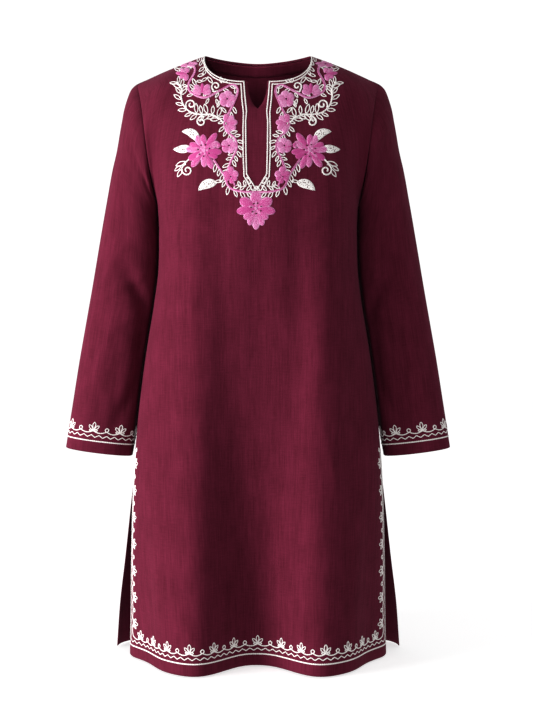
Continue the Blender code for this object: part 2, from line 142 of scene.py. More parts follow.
SLEEVE = table(
    "run outer_x outer_z inner_x inner_z middle_y half_depth",
    (0, 0.198, -0.0456, 0.1615, -0.25, 0.003, 0.059),
    (0.014, 0.2075, -0.0554, 0.1605, -0.2525, 0.004, 0.059),
    (0.031, 0.214, -0.0717, 0.1595, -0.2555, 0.006, 0.059),
    (0.048, 0.2189, -0.088, 0.1585, -0.259, 0.009, 0.059),
    (0.065, 0.2222, -0.1043, 0.158, -0.263, 0.012, 0.058),
    (0.081, 0.2254, -0.1206, 0.1575, -0.268, 0.014, 0.058),
    (0.114, 0.2315, -0.1532, 0.157, -0.279, 0.017, 0.057),
    (0.147, 0.239, -0.1858, 0.156, -0.292, 0.018, 0.056),
    (0.197, 0.248, -0.2347, 0.153, -0.313, 0.021, 0.054),
    (0.263, 0.2598, -0.3, 0.152, -0.347, 0.023, 0.051),
    (0.329, 0.2712, -0.3651, 0.157, -0.394, 0.023, 0.048),
    (0.395, 0.2822, -0.4303, 0.165, -0.451, 0.02, 0.046),
    (0.461, 0.293, -0.4955, 0.175, -0.511, 0.016, 0.043),
    (0.527, 0.3025, -0.5607, 0.186, -0.575, 0.011, 0.04),
    (0.603, 0.3135, -0.6365, 0.204, -0.6505, 0.006, 0.037),
)
SLEEVE_LENGTH = SLEEVE[-1].run
SLEEVE_ROUNDNESS = 2.1
ARMHOLE_REACH = 0.090
SLEEVE_RADIUS = 0.050
# A sleeve that would cut the body is pushed out, softly over this distance, and it isn't
# moved where it is more than this many times as far away
PUSH_SOFTNESS = 0.003
PUSH_ENDS = 50

SLEEVE_CREASES = table(
    "run turn push length width slant",
    (0.335, 115, 0.006, 0.06, 0.014, 0.55), (0.43, 135, 0.006, 0.07, 0.013, 0.1),
    (0.52, 125, 0.005, 0.045, 0.012, -0.3), (0.35, 240, 0.005, 0.07, 0.014, -0.4),
)

print("length:", LENGTH, "shoulders:", 2 * SHOULDER_HALF, "sleeve:", SLEEVE_LENGTH)

# %% [markdown]
# ## The form
#
# Worn, the cut becomes a rounded body with two tapering sleeves. It could be sculpted, but
# functions that turn the tables into surfaces keep both sides alike. They work on arrays of
# any size, so the shells can be as fine as they need to be.


# %% Reading the tables
def column(rows, name):
    return np.array([getattr(row, name) for row in rows])


def together(*parts):
    """Numbers side by side, as the points of a line or a grid."""
    return np.stack(np.broadcast_arrays(*parts), -1)


def hermite(share, start, end, leave, arrive):
    """The curve from start to end that leaves and arrives with the given tangents."""
    s2 = share * share
    s3 = s2 * share
    return (
        (2 * s3 - 3 * s2 + 1) * start
        + (s3 - 2 * s2 + share) * leave
        + (3 * s2 - 2 * s3) * end
        + (s3 - s2) * arrive
    )


def smooth(at, rows, name):
    """A column of a table, read as a smooth curve over the first that never overshoots."""
    places = column(rows, rows[0]._fields[0])
    values = column(rows, name)
    steps = np.diff(places)
    slopes = np.diff(values) / steps
    product = slopes[1:] * slopes[:-1]
    total = np.where(product > 0, slopes[1:] + slopes[:-1], 1.0)
    inner = np.where(product > 0, 2 * product / total, 0.0)
    tangents = np.concatenate([[slopes[0]], inner, [slopes[-1]]])
    at = np.asarray(at, float)
    i = np.clip(np.searchsorted(places, at) - 1, 0, len(steps) - 1)
    share = np.clip((at - places[i]) / steps[i], 0, 1)
    leave = tangents[i] * steps[i]
    arrive = tangents[i + 1] * steps[i]
    return hermite(share, values[i], values[i + 1], leave, arrive)


def read(at, rows, *names):
    return [smooth(at, rows, name) for name in names]


# %% The body below the underarms
def rounded(turn, roundness):
    """Sine and cosine of a rounded quarter turn, from 0 at the centre to 1 at the side."""
    quarter = np.clip(turn, 0, 1) * np.pi / 2
    power = 2 / roundness
    return np.sin(quarter) ** power, np.clip(np.cos(quarter), 0, 1) ** power


def folded(x, drop, folds):
    push = np.zeros(np.broadcast(x, drop).shape)
    for fold in folds:
        shape = np.exp(-np.abs((x - fold.x) / fold.width) ** FOLD_SHARPNESS)
        growth = np.clip((drop - fold.starts) / (fold.deepest - fold.starts), 0, 1)
        push = push + fold.push * shape * growth
    return push


def body_points(front, across, drop):
    """Points of the body below the underarms; across runs from -1 to 1 between side seams."""
    name = "front" if front else "back"
    names = ("half_" + name, name, "seam_" + name, "roundness")
    half, depth, seam, roundness = read(drop, SECTIONS, *names)
    wide, deep = rounded(np.abs(across), roundness)
    x = np.sign(across) * half * wide
    if front:
        y = seam - (depth + seam) * deep
    else:
        y = seam + (depth - seam) * deep
    held = 1 - np.abs(across) ** SEAM_HOLD
    y = y + held * folded(x, drop, FRONT_FOLDS if front else BACK_FOLDS)
    return together(x, y, -drop)


# %% The yoke, with the neckline cut from it
def shoulder_line(x):
    """Height of the shoulder seam, and of its line carried on across the open neck."""
    share = np.clip((x - NECK_HALF) / (SHOULDER_HALF - NECK_HALF), 0, 1)
    return NECK_SLOPE * np.clip(NECK_HALF - x, 0, None) - SHOULDER_DROP * share**SHOULDER_BOW


def neckline(front, x):
    """Height at which the neckline cuts a panel."""
    share = np.clip(x / NECK_HALF, 0, 1)
    deepest = -NECK_FRONT_DROP if front else NECK_BACK_RISE
    return deepest * (1 - share**NECK_ROUND) ** (1 / NECK_ROUND)


def yoke_column(front, across, up):
    """Points of the whole yoke, as if it closed over the neck along the shoulder line."""
    guides = FRONT_GUIDES if front else BACK_GUIDES
    start = body_points(front, across, np.full(np.shape(across), UNDERARM_DROP))
    x = SHOULDER_HALF * across
    end = together(x, 0 * x, shoulder_line(x))
    tangents = [
        np.stack(read(across, guides, *[f"{way}_{axis}" for axis in "xyz"]), -1)
        for way in ("leave", "arrive")
    ]
    return hermite(up[..., None], start, end, *tangents)


def neck_end(front, across):
    """How far up each column the neckline cuts it, found by halving."""
    low = np.zeros(np.shape(across))
    high = np.ones(np.shape(across))
    for _ in range(NECK_HALVINGS):
        middle = (low + high) / 2
        points = yoke_column(front, across, middle)
        above = points[..., 2] > neckline(front, points[..., 0])
        low, high = np.where(above, low, middle), np.where(above, middle, high)
    return np.where(across < NECK_SHARE - 1e-9, high, 1.0)


def neck_slit(z):
    """Half the width by which the neck slit has fallen open at a height."""
    share = np.clip((-NECK_FRONT_DROP - z) / (NECK_SLIT_BOTTOM - NECK_FRONT_DROP), 0, 1)
    return NECK_SLIT_HALF * (1 - share**2.2) ** 0.75


def yoke_points(front, across, up):
    """Points from the underarm level, at up 0, to the neckline and shoulders, at up 1."""
    out = np.abs(across)
    points = yoke_column(front, out, up * neck_end(front, out))
    if front:
        fade = np.clip(1 - points[..., 0] / NECK_HALF, 0, 1)
        points[..., 0] += neck_slit(points[..., 2]) * fade
    points[..., 0] *= np.where(across < 0, -1, 1)
    return points


# %% The sleeves
def body_reach(y, z):
    """How far out the body's side lies at a depth and height, or 0 where it doesn't reach."""
    drop = np.clip(-z, UNDERARM_DROP, LENGTH)
    names = ("half_front", "front", "back", "roundness")
    half, front, back, roundness = read(drop, SECTIONS, *names)
    share = np.abs(y) / np.where(y < 0, front, back)
    return half * np.clip(1 - share**roundness, 0, 1) ** (1 / roundness)


def creased(run, turn):
    """How far a sleeve's creases pull its cloth in."""
    pull = np.zeros(np.broadcast(run, turn).shape)
    for crease in SLEEVE_CREASES:
        down = run - crease.run
        round_it = SLEEVE_RADIUS * (turn - np.radians(crease.turn))
        along = (down + crease.slant * round_it) / crease.length
        across = (round_it - crease.slant * down) / crease.width
        pull = pull + crease.push * np.exp(-(along**2) - across**2)
    return pull


def sleeve_ring(run, turn):
    """Points of a bare sleeve ring at each run, turn 0 on its outer edge and front first."""
    names = SLEEVE[0]._fields[1:]
    outer_x, outer_z, inner_x, inner_z, middle_y, half_depth = read(run, SLEEVE, *names)
    power = 2 / SLEEVE_ROUNDNESS
    cos = np.sign(np.cos(turn)) * np.abs(np.cos(turn)) ** power
    sin = np.sign(np.sin(turn)) * np.abs(np.sin(turn)) ** power
    x = (outer_x + inner_x) / 2
    z = (outer_z + inner_z) / 2
    middle = together(x, middle_y, z)
    x = x + (outer_x - inner_x) / 2 * cos
    z = z + (outer_z - inner_z) / 2 * cos
    y = middle_y - half_depth * sin
    points = together(x, y, z)
    away = points - middle
    away = away / np.linalg.norm(away, axis=-1, keepdims=True)
    return points - away * creased(run, turn)[..., None]


def sleeve_points(runs, ups):
    """The wearer's left sleeve: a row for each run, round the armhole's own points."""
    count = len(ups) - 1
    armhole_ups = np.concatenate([ups[::-1], ups[1:-1]])
    is_front = np.arange(2 * count) <= count
    side = np.ones(2 * count)
    armhole = np.where(
        is_front[:, None],
        yoke_points(True, side, armhole_ups),
        yoke_points(False, side, armhole_ups),
    )
    even = np.arange(2 * count) * np.pi / count
    own = np.arccos(2 * armhole_ups - 1)
    own = np.where(is_front, own, 2 * np.pi - own)
    runs = runs[:, None]
    near = np.clip(1 - runs / ARMHOLE_REACH, 0, 1) ** 2
    turn = own * near + even * (1 - near)
    points = sleeve_ring(runs, turn)
    points += near[..., None] * (armhole - sleeve_ring(np.zeros((1, 1)), own[None]))
    share = np.clip((-UNDERARM_DROP - points[..., 2]) / CLEARANCE_GROWS_OVER, 0, 1)
    clearance = SEAM_GAP + (SLEEVE_CLEARANCE - SEAM_GAP) * share
    reach = body_reach(points[..., 1], points[..., 2]) + clearance
    softness = PUSH_SOFTNESS * (1 - near) + 1e-5
    room = (points[..., 0] - reach) / softness
    pushed = reach + softness * np.logaddexp(0, np.clip(room, -PUSH_ENDS, PUSH_ENDS))
    beside = (points[..., 2] < -UNDERARM_DROP) & (near < 1) & (room < PUSH_ENDS)
    points[..., 0] = np.where(beside, pushed, points[..., 0])
    return points, turn


# %% [markdown]
# ## Creases
#
# Worn cloth never hangs evenly. A cloth simulation would find its own creases, but it would
# also move the neck and the hem. So each row below is one soft ridge, or a trough where its
# height is negative. All numbers in these three tables are millimetres and
# degrees. The back and the far sides of the sleeves have their own.

# %% Creases of the panels
WRINKLE = "x z angle length width height"
FRONT_WRINKLES = table(
    WRINKLE,
    (4, -670, 90, 250, 30, 6.0), (-22, -430, 90, 150, 20, 2.4), (60, -640, 91, 200, 21, -3.2),
    (110, -645, 104, 120, 8, 1.4), (-121, -560, 92, 150, 9, 1.1), (-84, -420, 86, 90, 8, -1.0),
    (-102, -770, 96, 90, 8, 1.1), (44, -780, 84, 100, 9, 1.0), (-118, -330, 84, 70, 8, 0.9),
    (86, -430, 97, 80, 8, 0.9), (0, -113, 4, 15, 3.5, -0.9), (-6, -150, 82, 26, 4.5, 0.8),
    (9, -168, 100, 24, 4.5, 0.8), (-104, -300, 91, 170, 27, 5.2), (112, -370, 89, 260, 27, 6.6),
    (-58, -310, 88, 130, 18, -1.8), (62, -350, 91, 210, 20, -2.8), (-118, -268, -24, 46, 8, 1.6),
    (-108, -292, -15, 40, 8, -1.3), (-124, -318, -30, 34, 7, 0.9), (116, -264, 26, 50, 8, 1.6),
    (104, -290, 16, 44, 8, -1.3), (127, -322, 34, 36, 7, 0.9), (-66, -338, 12, 52, 11, 0.8),
    (52, -352, -9, 58, 11, 0.8), (-24, -392, 5, 48, 10, -0.7), (92, -408, 21, 46, 10, -0.8),
    (-112, -412, -18, 50, 10, 0.9), (-96, -580, 92, 190, 17, 2.0), (-58, -540, 87, 170, 14, -1.5),
    (-134, -620, 95, 150, 11, -1.1), (86, -590, 88, 200, 18, 2.2), (54, -660, 94, 160, 13, -1.3),
    (126, -540, 84, 150, 12, 1.3), (16, -720, 90, 150, 15, -1.0), (-24, -800, 93, 120, 12, 1.0),
    (-158, -820, 94, 100, 9, 1.0), (154, -800, 87, 110, 9, 1.1), (-70, -170, 78, 40, 11, 0.7),
    (112, -176, 104, 46, 12, 0.9), (-142, -172, 76, 44, 10, 1.0), (148, -206, 100, 40, 9, -1.0),
)
BACK_WRINKLES = table(
    WRINKLE,
    (-120, -262, -28, 46, 8, 1.5), (112, -270, 22, 50, 8, 1.5), (-92, -300, -12, 44, 9, -1.1),
    (98, -312, 30, 38, 8, -1.0), (-30, -352, 8, 60, 12, 0.9), (58, -380, -12, 54, 11, -0.9),
    (-84, -402, -16, 52, 11, 1.0), (-100, -600, 91, 190, 17, 2.0), (-42, -560, 88, 180, 15, -1.4),
    (48, -620, 92, 200, 17, 1.9), (104, -560, 86, 160, 13, -1.4), (140, -680, 90, 130, 11, 1.2),
    (-150, -780, 93, 110, 10, -1.1), (6, -820, 89, 120, 14, 1.2), (0, -90, 90, 60, 16, -0.9),
    (-120, -120, 118, 44, 12, 1.0), (124, -132, 66, 46, 12, 1.0),
)

# Creases of a sleeve: turn is the angle from its outer edge round the front
SLEEVE_WRINKLES = table(
    "run turn angle length width height",
    (40, 60, 70, 34, 8, 1.3), (62, 110, 62, 40, 8, -1.3), (96, 95, 78, 46, 9, 1.2),
    (140, 50, 86, 60, 10, 1.1), (206, 78, 94, 70, 10, -1.3), (290, 66, 72, 54, 8, 1.6),
    (322, 92, 48, 38, 7, 1.5), (352, 76, 34, 34, 7, -1.3), (384, 100, 44, 36, 7, 1.5),
    (452, 72, 84, 60, 9, 1.5), (500, 100, 98, 50, 8, -1.4), (548, 62, 88, 38, 8, 1.2),
    (80, 250, 66, 42, 9, 1.2), (150, 300, 84, 58, 10, 1.2), (250, 268, 96, 64, 10, -1.3),
    (330, 250, 40, 38, 8, 1.5), (362, 282, 52, 36, 7, -1.3), (430, 262, 86, 60, 9, 1.5),
    (520, 290, 92, 44, 9, 1.3), (400, 350, 88, 70, 11, 0.9), (230, 10, 90, 80, 12, 0.8),
)


def ridge(over, down, wrinkle):
    """Height of one crease at distances in millimetres over and down from its middle."""
    turn = np.radians(wrinkle.angle)
    along = (over * np.cos(turn) + down * np.sin(turn)) / wrinkle.length
    across = (down * np.cos(turn) - over * np.sin(turn)) / wrinkle.width
    bent = across + 0.35 * along**2
    return wrinkle.height * np.exp(-(along**2) - bent**2)


def panel_relief(points, wrinkles):
    x, z = points[..., 0] / MM, points[..., 2] / MM
    return MM * sum(ridge(x - one.x, z - one.z, one) for one in wrinkles)


def sleeve_relief(runs, turn):
    down = runs[:, None] / MM
    total = 0
    for one in SLEEVE_WRINKLES:
        angle = (turn - np.radians(one.turn) + np.pi) % (2 * np.pi) - np.pi
        total = total + ridge(SLEEVE_RADIUS / MM * angle, one.run - down, one)
    return MM * total


print("creases:", len(FRONT_WRINKLES), "in front,", len(BACK_WRINKLES), "behind")

# %% [markdown]
# ## Shells of cloth
#
# Linen is thin, but its folded edges catch the light. A Solidify modifier could thicken a
# sheet, but it leaves the rim square. So a shell is a grid of points with an outer and an
# inner side, and a rounded fold round its rim. Seams are shallow ditches, because sewn
# cloth is pulled in along its stitches.

# %% Grids
NECK_COLUMNS = 22
SHOULDER_COLUMNS = 27
BODY_ROWS = 150
YOKE_ROWS = 44
SLEEVE_RINGS = 130
EDGE_SHARES = (0.986, 0.994)
SEAM_DITCH = 0.0008
SEAM_WIDTH = 0.0028
RIM_ROUND = 0.45
SEAM_FADE = 0.05
SLIT_SAMPLES = 400


def unit(vectors):
    return vectors / np.maximum(np.linalg.norm(vectors, axis=-1, keepdims=True), 1e-12)


def grid_normals(points, closed=False):
    """Unit normals of a grid of points, whose second index may run round a ring."""
    if closed:
        ahead = np.roll(points, -1, 1)
        behind = np.roll(points, 1, 1)
    else:
        ahead = np.concatenate([points[:, 1:], points[:, -1:]], 1)
        behind = np.concatenate([points[:, :1], points[:, :-1]], 1)
    above = np.concatenate([points[1:], points[-1:]], 0)
    below = np.concatenate([points[:1], points[:-1]], 0)
    return unit(np.cross(ahead - behind, above - below))


def lengths(points, axis):
    """Distance of each point of a grid from the first one, along a row or a column."""
    steps = np.linalg.norm(np.diff(points, axis=axis), axis=-1)
    start = np.zeros_like(np.take(steps, [0], axis))
    return np.concatenate([start, np.cumsum(steps, axis)], axis)


def half_columns():
    turn = np.arange(NECK_COLUMNS) / NECK_COLUMNS * np.pi / 2
    shoulder = np.linspace(NECK_SHARE, 1, SHOULDER_COLUMNS + 1)[:-1]
    return np.concatenate([NECK_SHARE * np.sin(turn), shoulder, EDGE_SHARES, [1]])


def slit_bottom_up():
    """How far up the centre column the bottom of the neck slit lies."""
    ups = np.linspace(0, 1, SLIT_SAMPLES)
    z = yoke_points(True, np.zeros(SLIT_SAMPLES), ups)[:, 2]
    return float(np.interp(-NECK_SLIT_BOTTOM, z, ups))


def yoke_rows():
    """Rows of the yoke, closer at its ends, with one at the bottom of the neck slit."""
    share = np.arange(YOKE_ROWS + 1) / YOKE_ROWS
    ups = 0.5 * share + 0.25 * (1 - np.cos(np.pi * share))
    slit_row = int(np.argmin(np.abs(ups - slit_bottom_up())))
    ups[slit_row] = slit_bottom_up()
    return np.concatenate([ups[:-1], EDGE_SHARES, [1]]), slit_row


def panel_points(front, across):
    below = body_points(front, across[None], drops[:, None])
    above = yoke_points(front, *np.broadcast_arrays(across[None], ups[1:, None]))
    return np.concatenate([below, above])


def ditch(distance):
    return SEAM_DITCH * np.exp(-((distance / SEAM_WIDTH) ** 2))


def panel_ditch(points, on_shoulder):
    """Ditches along the sewn side seams, the armholes and the shoulder seams."""
    sewn = (points[:, :1, 2] > -SIDE_SLIT_TOP).astype(float)
    over = lengths(points, 1)
    depth = (ditch(over) + ditch(over[:, -1:] - over)) * sewn
    down = lengths(points, 0)
    return depth + ditch(down[-1:] - down) * on_shoulder


def held_at_seams(across):
    """Creases fade toward the seams, so that the shells still meet there."""
    return np.clip((1 - np.abs(across)) / SEAM_FADE, 0, 1)


half = half_columns()
drops = np.linspace(LENGTH, UNDERARM_DROP, BODY_ROWS)
ups, slit_row = yoke_rows()
middle = len(half) - 1
print("columns:", 2 * len(half), "rows:", len(drops) + len(ups) - 1)


# %% The five pieces as grids
FADE_ROWS = 12
# The back's neckline is eased over this many columns each side of its middle
EASE_COLUMNS = 7
EASE_ROUNDS = 14
RING_CROWDING = 1.15
ARMHOLE_RINGS = [0, 0.0015, 0.0035]
ARMHOLE_FADE = 0.03
# Cosine of the turn past which a sleeve faces the body, where its creases only go in
FACES_BODY = -0.5


def creased_panel(points, across, wrinkles):
    normals = grid_normals(points)
    top_fade = np.ones(len(points))
    top_fade[-FADE_ROWS:] = np.linspace(1, 0, FADE_ROWS)
    fade = held_at_seams(across)[None] * top_fade[:, None]
    sewn = panel_ditch(points, np.abs(across) >= NECK_SHARE)
    push = panel_relief(points, wrinkles) * fade - sewn
    return points + normals * push[..., None]


across_front = np.concatenate([-half[::-1], half])
across_back = np.concatenate([half[::-1], -half[1:]])
left_half = panel_points(True, half)
halves = [(left_half * (-1, 1, 1))[:, ::-1], left_half]
sides = (slice(None, middle + 1), slice(middle + 1, None))
front_points = np.concatenate(
    [creased_panel(one, across_front[side], FRONT_WRINKLES) for one, side in zip(halves, sides)], 1
)
back_points = panel_points(False, across_back)
centre = np.arange(middle - EASE_COLUMNS, middle + EASE_COLUMNS + 1)
for _ in range(EASE_ROUNDS):
    beside = back_points[:, centre - 1] + back_points[:, centre + 1]
    back_points[:, centre] = (beside + 2 * back_points[:, centre]) / 4
back_points = creased_panel(back_points, across_back, BACK_WRINKLES)

runs = SLEEVE_LENGTH * (np.arange(SLEEVE_RINGS + 1) / SLEEVE_RINGS) ** RING_CROWDING
runs = np.concatenate([ARMHOLE_RINGS, runs[2:]])
bare_sleeve, sleeve_turn = sleeve_points(runs, ups)
sleeve_push = sleeve_relief(runs, sleeve_turn)
sleeve_push = sleeve_push * np.clip(runs[:, None] / ARMHOLE_FADE, 0, 1)
faces_body = np.cos(sleeve_turn) < FACES_BODY
sleeve_push = np.where(faces_body, np.minimum(sleeve_push, 0), sleeve_push)
sleeve_push = sleeve_push - ditch(runs[:, None])
sleeve_grid = bare_sleeve + grid_normals(bare_sleeve, True) * sleeve_push[..., None]
seam_column = (len(ups) - 1) % sleeve_grid.shape[1]
sleeve_grid = np.roll(sleeve_grid, -seam_column, 1)
print("sleeve rings:", len(runs), "with", sleeve_grid.shape[1], "points")


# %% Building a shell
def mesh_object(name, corners, faces):
    mesh = bpy.data.meshes.new(name)
    mesh.from_pydata(corners.tolist(), [], faces)
    mesh.update()
    mesh.shade_smooth()
    piece = bpy.data.objects.new(name, mesh)
    bpy.context.scene.collection.objects.link(piece)
    return piece


def numbered(points):
    """The number of each point of a grid."""
    return np.arange(points.size // 3).reshape(points.shape[:2])


def quads(grid):
    low, next_low = grid[:-1, :-1].ravel(), grid[:-1, 1:].ravel()
    high, next_high = grid[1:, :-1].ravel(), grid[1:, 1:].ravel()
    return np.stack([low, next_low, next_high, high], -1)


def rim_of(faces):
    """Edges that only one face of the grid has, in that face's own direction."""
    edges = np.concatenate([faces[:, [i, (i + 1) % 4]] for i in range(4)])
    have = {tuple(edge) for edge in edges.tolist()}
    return [edge for edge in sorted(have) if (edge[1], edge[0]) not in have]


def add_map(piece, name, values):
    """Stores a pair of numbers at each corner of each face, as a UV map."""
    layer = piece.data.uv_layers.new(name=name)
    numbers = np.empty(len(piece.data.loops), int)
    piece.data.loops.foreach_get("vertex_index", numbers)
    layer.data.foreach_set("uv", values[numbers].astype(np.float32).ravel())


def shell(name, points, normals, thickness, patches, weave):
    """A closed shell of cloth: outer side, inner side and a rounded rim between them.

    Each patch is a grid of point numbers, and patches share the numbers of joined points.
    """
    flat = points.reshape(-1, 3)
    inward = (-normals * thickness).reshape(-1, 3)
    count = len(flat)
    faces = np.concatenate([quads(patch) for patch in patches])
    rim = rim_of(faces)
    beyond = np.zeros_like(flat)
    for a, b in rim:
        away = np.cross(flat[b] - flat[a], -inward[a])
        beyond[a] += away
        beyond[b] += away
    fold = flat + inward / 2 + unit(beyond) * np.linalg.norm(inward, axis=-1)[:, None] * RIM_ROUND
    corners = np.concatenate([flat, flat + inward, fold])
    all_faces = [*faces.tolist(), *(faces[:, ::-1] + count).tolist()]
    for a, b in rim:
        all_faces.append([b, a, a + 2 * count, b + 2 * count])
        all_faces.append([b + 2 * count, a + 2 * count, a + count, b + count])
    used = np.unique([corner for face in all_faces for corner in face])
    place = np.full(len(corners), -1)
    place[used] = np.arange(len(used))
    all_faces = [place[face].tolist() for face in all_faces]
    piece = mesh_object(name, corners[used], all_faces)
    add_map(piece, "weave", np.tile(weave.reshape(-1, 2), (3, 1))[used])
    return piece


def weave_map(points, middle_column):
    over = lengths(points, 1)
    down = lengths(points, 0)[:, middle_column]
    over = over - over[:, middle_column][:, None]
    return together(over, down[:, None])


def thickness_of(distance_from_hem):
    return np.where(distance_from_hem < HEM_TURNING, HEM_CLOTH, CLOTH)


BESIDE_MIDDLE = 20
BACK_WEAVE, FACING_WEAVE = (0.7, 0.3), (0.2, 1.9)

front_normals = np.concatenate([grid_normals(front_points[:, side]) for side in sides], 1)
for row in range(len(drops) + slit_row):
    seam = unit(front_normals[row, middle] + front_normals[row, middle + 1])
    front_normals[row, middle : middle + 2] = seam
back_normals = grid_normals(back_points)

numbers = numbered(front_points)
numbers[: len(drops) + slit_row, middle + 1] = numbers[: len(drops) + slit_row, middle]
hem_height = lengths(front_points, 0)[:, middle - BESIDE_MIDDLE]
front = shell(
    "front_cloth", front_points, front_normals, thickness_of(hem_height)[:, None, None],
    [numbers[:, side] for side in sides], weave_map(front_points, middle),
)
numbers = numbered(back_points)
back = shell(
    "back_cloth", back_points, back_normals, thickness_of(hem_height)[:, None, None],
    [numbers], weave_map(back_points, middle) + BACK_WEAVE,
)
print("front faces:", len(front.data.polygons), "back faces:", len(back.data.polygons))

# %% Sleeves
sleeves = {}
sleeve_grids = {}
for side, name in ((1, "sleeve_left"), (-1, "sleeve_right")):
    points = np.concatenate([sleeve_grid, sleeve_grid[:, :1]], 1)
    normals = grid_normals(sleeve_grid, True)
    normals = np.concatenate([normals, normals[:, :1]], 1)
    if side < 0:
        points = (points * (-1, 1, 1))[:, ::-1]
        normals = (normals * (-1, 1, 1))[:, ::-1]
    weave = weave_map(points, points.shape[1] // 2) * (1, -1) + (1.3 * side, 0.9)
    thickness = thickness_of(SLEEVE_LENGTH - runs)[:, None, None]
    sleeves[name] = shell(
        name + "_cloth", points, normals, thickness, [numbered(points)], weave
    )
    sleeve_grids[name] = points, normals
print("sleeve faces:", [len(piece.data.polygons) for piece in sleeves.values()])

# %% Back neck facing
FACING_UP = 0.9038
FACING_CLOTH = 0.0008
FACING_LIFT = 0.0013
FACING_SETBACK = 0.0020

first = len(drops) - 1 + int(np.searchsorted(ups, FACING_UP))
on_neck = np.flatnonzero(np.abs(across_back) <= NECK_SHARE + 1e-9)
block = np.ix_(np.arange(first, len(back_points)), on_neck)
facing_points = back_points[block] - back_normals[block] * FACING_LIFT
facing_points[-1] += unit(facing_points[-2] - facing_points[-1]) * FACING_SETBACK
facing_points[:, 0] += unit(facing_points[:, 1] - facing_points[:, 0]) * FACING_SETBACK
facing_points[:, -1] += unit(facing_points[:, -2] - facing_points[:, -1]) * FACING_SETBACK
facing = shell(
    "back_neck_facing_cloth", facing_points, back_normals[block],
    np.full((len(facing_points), 1, 1), FACING_CLOTH), [numbered(facing_points)],
    weave_map(facing_points, len(on_neck) // 2) + FACING_WEAVE,
)
print("facing:", [round(size, 3) for size in facing.dimensions])

# %% [markdown]
# ## Where thread goes
#
# Embroidery follows every crease of the cloth under it. A Shrinkwrap modifier could pull it
# there, but it can squeeze the stitches. So a design is drawn flat, in metres, and each of
# its points is laid on the cloth before it is sewn. The neck design is drawn as the camera
# sees it and follows its lines of sight. Borders follow the edges of the cloth.

# %% Camera
CAMERA_PLACE = Vector((0.0138, -1.6, -0.488))
LENS = 49.7
SENSOR = 36
PICTURE = (533, 711)

camera_data = bpy.data.cameras.new("camera")
camera_data.lens = LENS
camera_data.sensor_width = SENSOR
camera = bpy.data.objects.new("camera", camera_data)
camera.location = CAMERA_PLACE
camera.rotation_euler = (np.radians(90), 0, 0)
bpy.context.scene.collection.objects.link(camera)
bpy.context.scene.camera = camera
bpy.context.scene.render.resolution_x, bpy.context.scene.render.resolution_y = PICTURE

# %% Ways to lay a design
NECK_CENTRE = -0.0022
FAR = 5.0


def sight_of(point):
    """Where the line of sight to a point crosses the plane of the shoulders."""
    share = -CAMERA_PLACE.y / (point[1] - CAMERA_PLACE.y)
    x = CAMERA_PLACE.x + (point[0] - CAMERA_PLACE.x) * share
    z = CAMERA_PLACE.z + (point[2] - CAMERA_PLACE.z) * share
    return x - NECK_CENTRE, z


front_faces = [quads(numbered(front_points)[:, side]) for side in sides]
front_surface = BVHTree.FromPolygons(
    front_points.reshape(-1, 3).tolist(), np.concatenate(front_faces).tolist()
)


def on_front(design):
    """Lays a design of the neck on the front, along the camera's lines of sight.

    A point that misses the cloth gets a normal of zero, and no stitch is sewn there.
    """
    places, normals = [], []
    for x, z in design:
        aim = Vector((x + NECK_CENTRE, 0, z)) - CAMERA_PLACE
        place, normal, _, _ = front_surface.ray_cast(CAMERA_PLACE, aim.normalized(), FAR)
        places.append(place or (0, 0, 0))
        normals.append(normal or (0, 0, 0))
    return np.array(places), np.array(normals)


def read_grid(grid, row, over):
    """Values of a grid at fractions of its rows and columns."""
    row = np.clip(row, 0, len(grid) - 1.001)
    over = np.clip(over, 0, grid.shape[1] - 1.001)
    i, j = row.astype(int), over.astype(int)
    up, right = (row - i)[:, None], (over - j)[:, None]
    low = grid[i, j] * (1 - right) + grid[i, j + 1] * right
    high = grid[i + 1, j] * (1 - right) + grid[i + 1, j + 1] * right
    return low * (1 - up) + high * up


def place_among(values, marks):
    """Where each value lies among rising marks, counted from 0."""
    return np.interp(values, marks, np.arange(len(marks)))


def on_grid(points, normals, spot):
    """Lays a design on a grid, where spot turns its two measures into a row and a column."""
    def lay(design):
        row, over = spot(design[:, 0], design[:, 1])
        return read_grid(points, row, over), unit(read_grid(normals, row, over))

    return lay


def on_hem(points, normals):
    """Lays a border above a hem: along it from its middle, and up from its edge."""
    over = lengths(points, 1)[0]
    over = over - over[middle]

    def spot(along, up):
        return place_among(up, hem_height), place_among(along, over)

    return on_grid(points, normals, spot)


def beside_edge(points, normals):
    """Lays a border beside the first column of a grid: along it, and in from it."""
    reach = lengths(points, 1)
    edge = lengths(points[:, :1], 0)[:, 0]

    def spot(along, inward):
        row = np.clip(place_among(along, edge), 0, len(edge) - 1.001)
        low, share = row.astype(int), row % 1
        at_rows = reach[low] * (1 - share)[:, None] + reach[low + 1] * share[:, None]
        return row, np.array([place_among(*pair) for pair in zip(inward, at_rows)])

    return on_grid(points, normals, spot)


def on_cuff(points, normals):
    """Lays a border round a cuff: round from its seam, and up from its edge."""
    over = lengths(points, 1)[-1]

    def spot(along, up):
        return place_among(SLEEVE_LENGTH - up, runs), place_among(along % over[-1], over)

    return on_grid(points, normals, spot), over[-1]


print("camera height above the hem:", round(CAMERA_PLACE.z + LENGTH, 3))

# %% [markdown]
# ## Stitches
#
# Chain stitch is two strands that part and meet at every link. Satin stitch fills a petal
# or a leaf with threads laid side by side, so it stands up as a low dome. Both could be
# painted on the cloth, but only real thread catches the light and casts a shadow.

# %% Chain stitch and satin stitch
LINK = 0.0034
RINGS_PER_LINK = 5
THREAD = 0.00070
SPREAD = 0.00066
LIFT = 0.00025
EDGE_PALER = 0.75
ROOT_DEEPER = 0.25
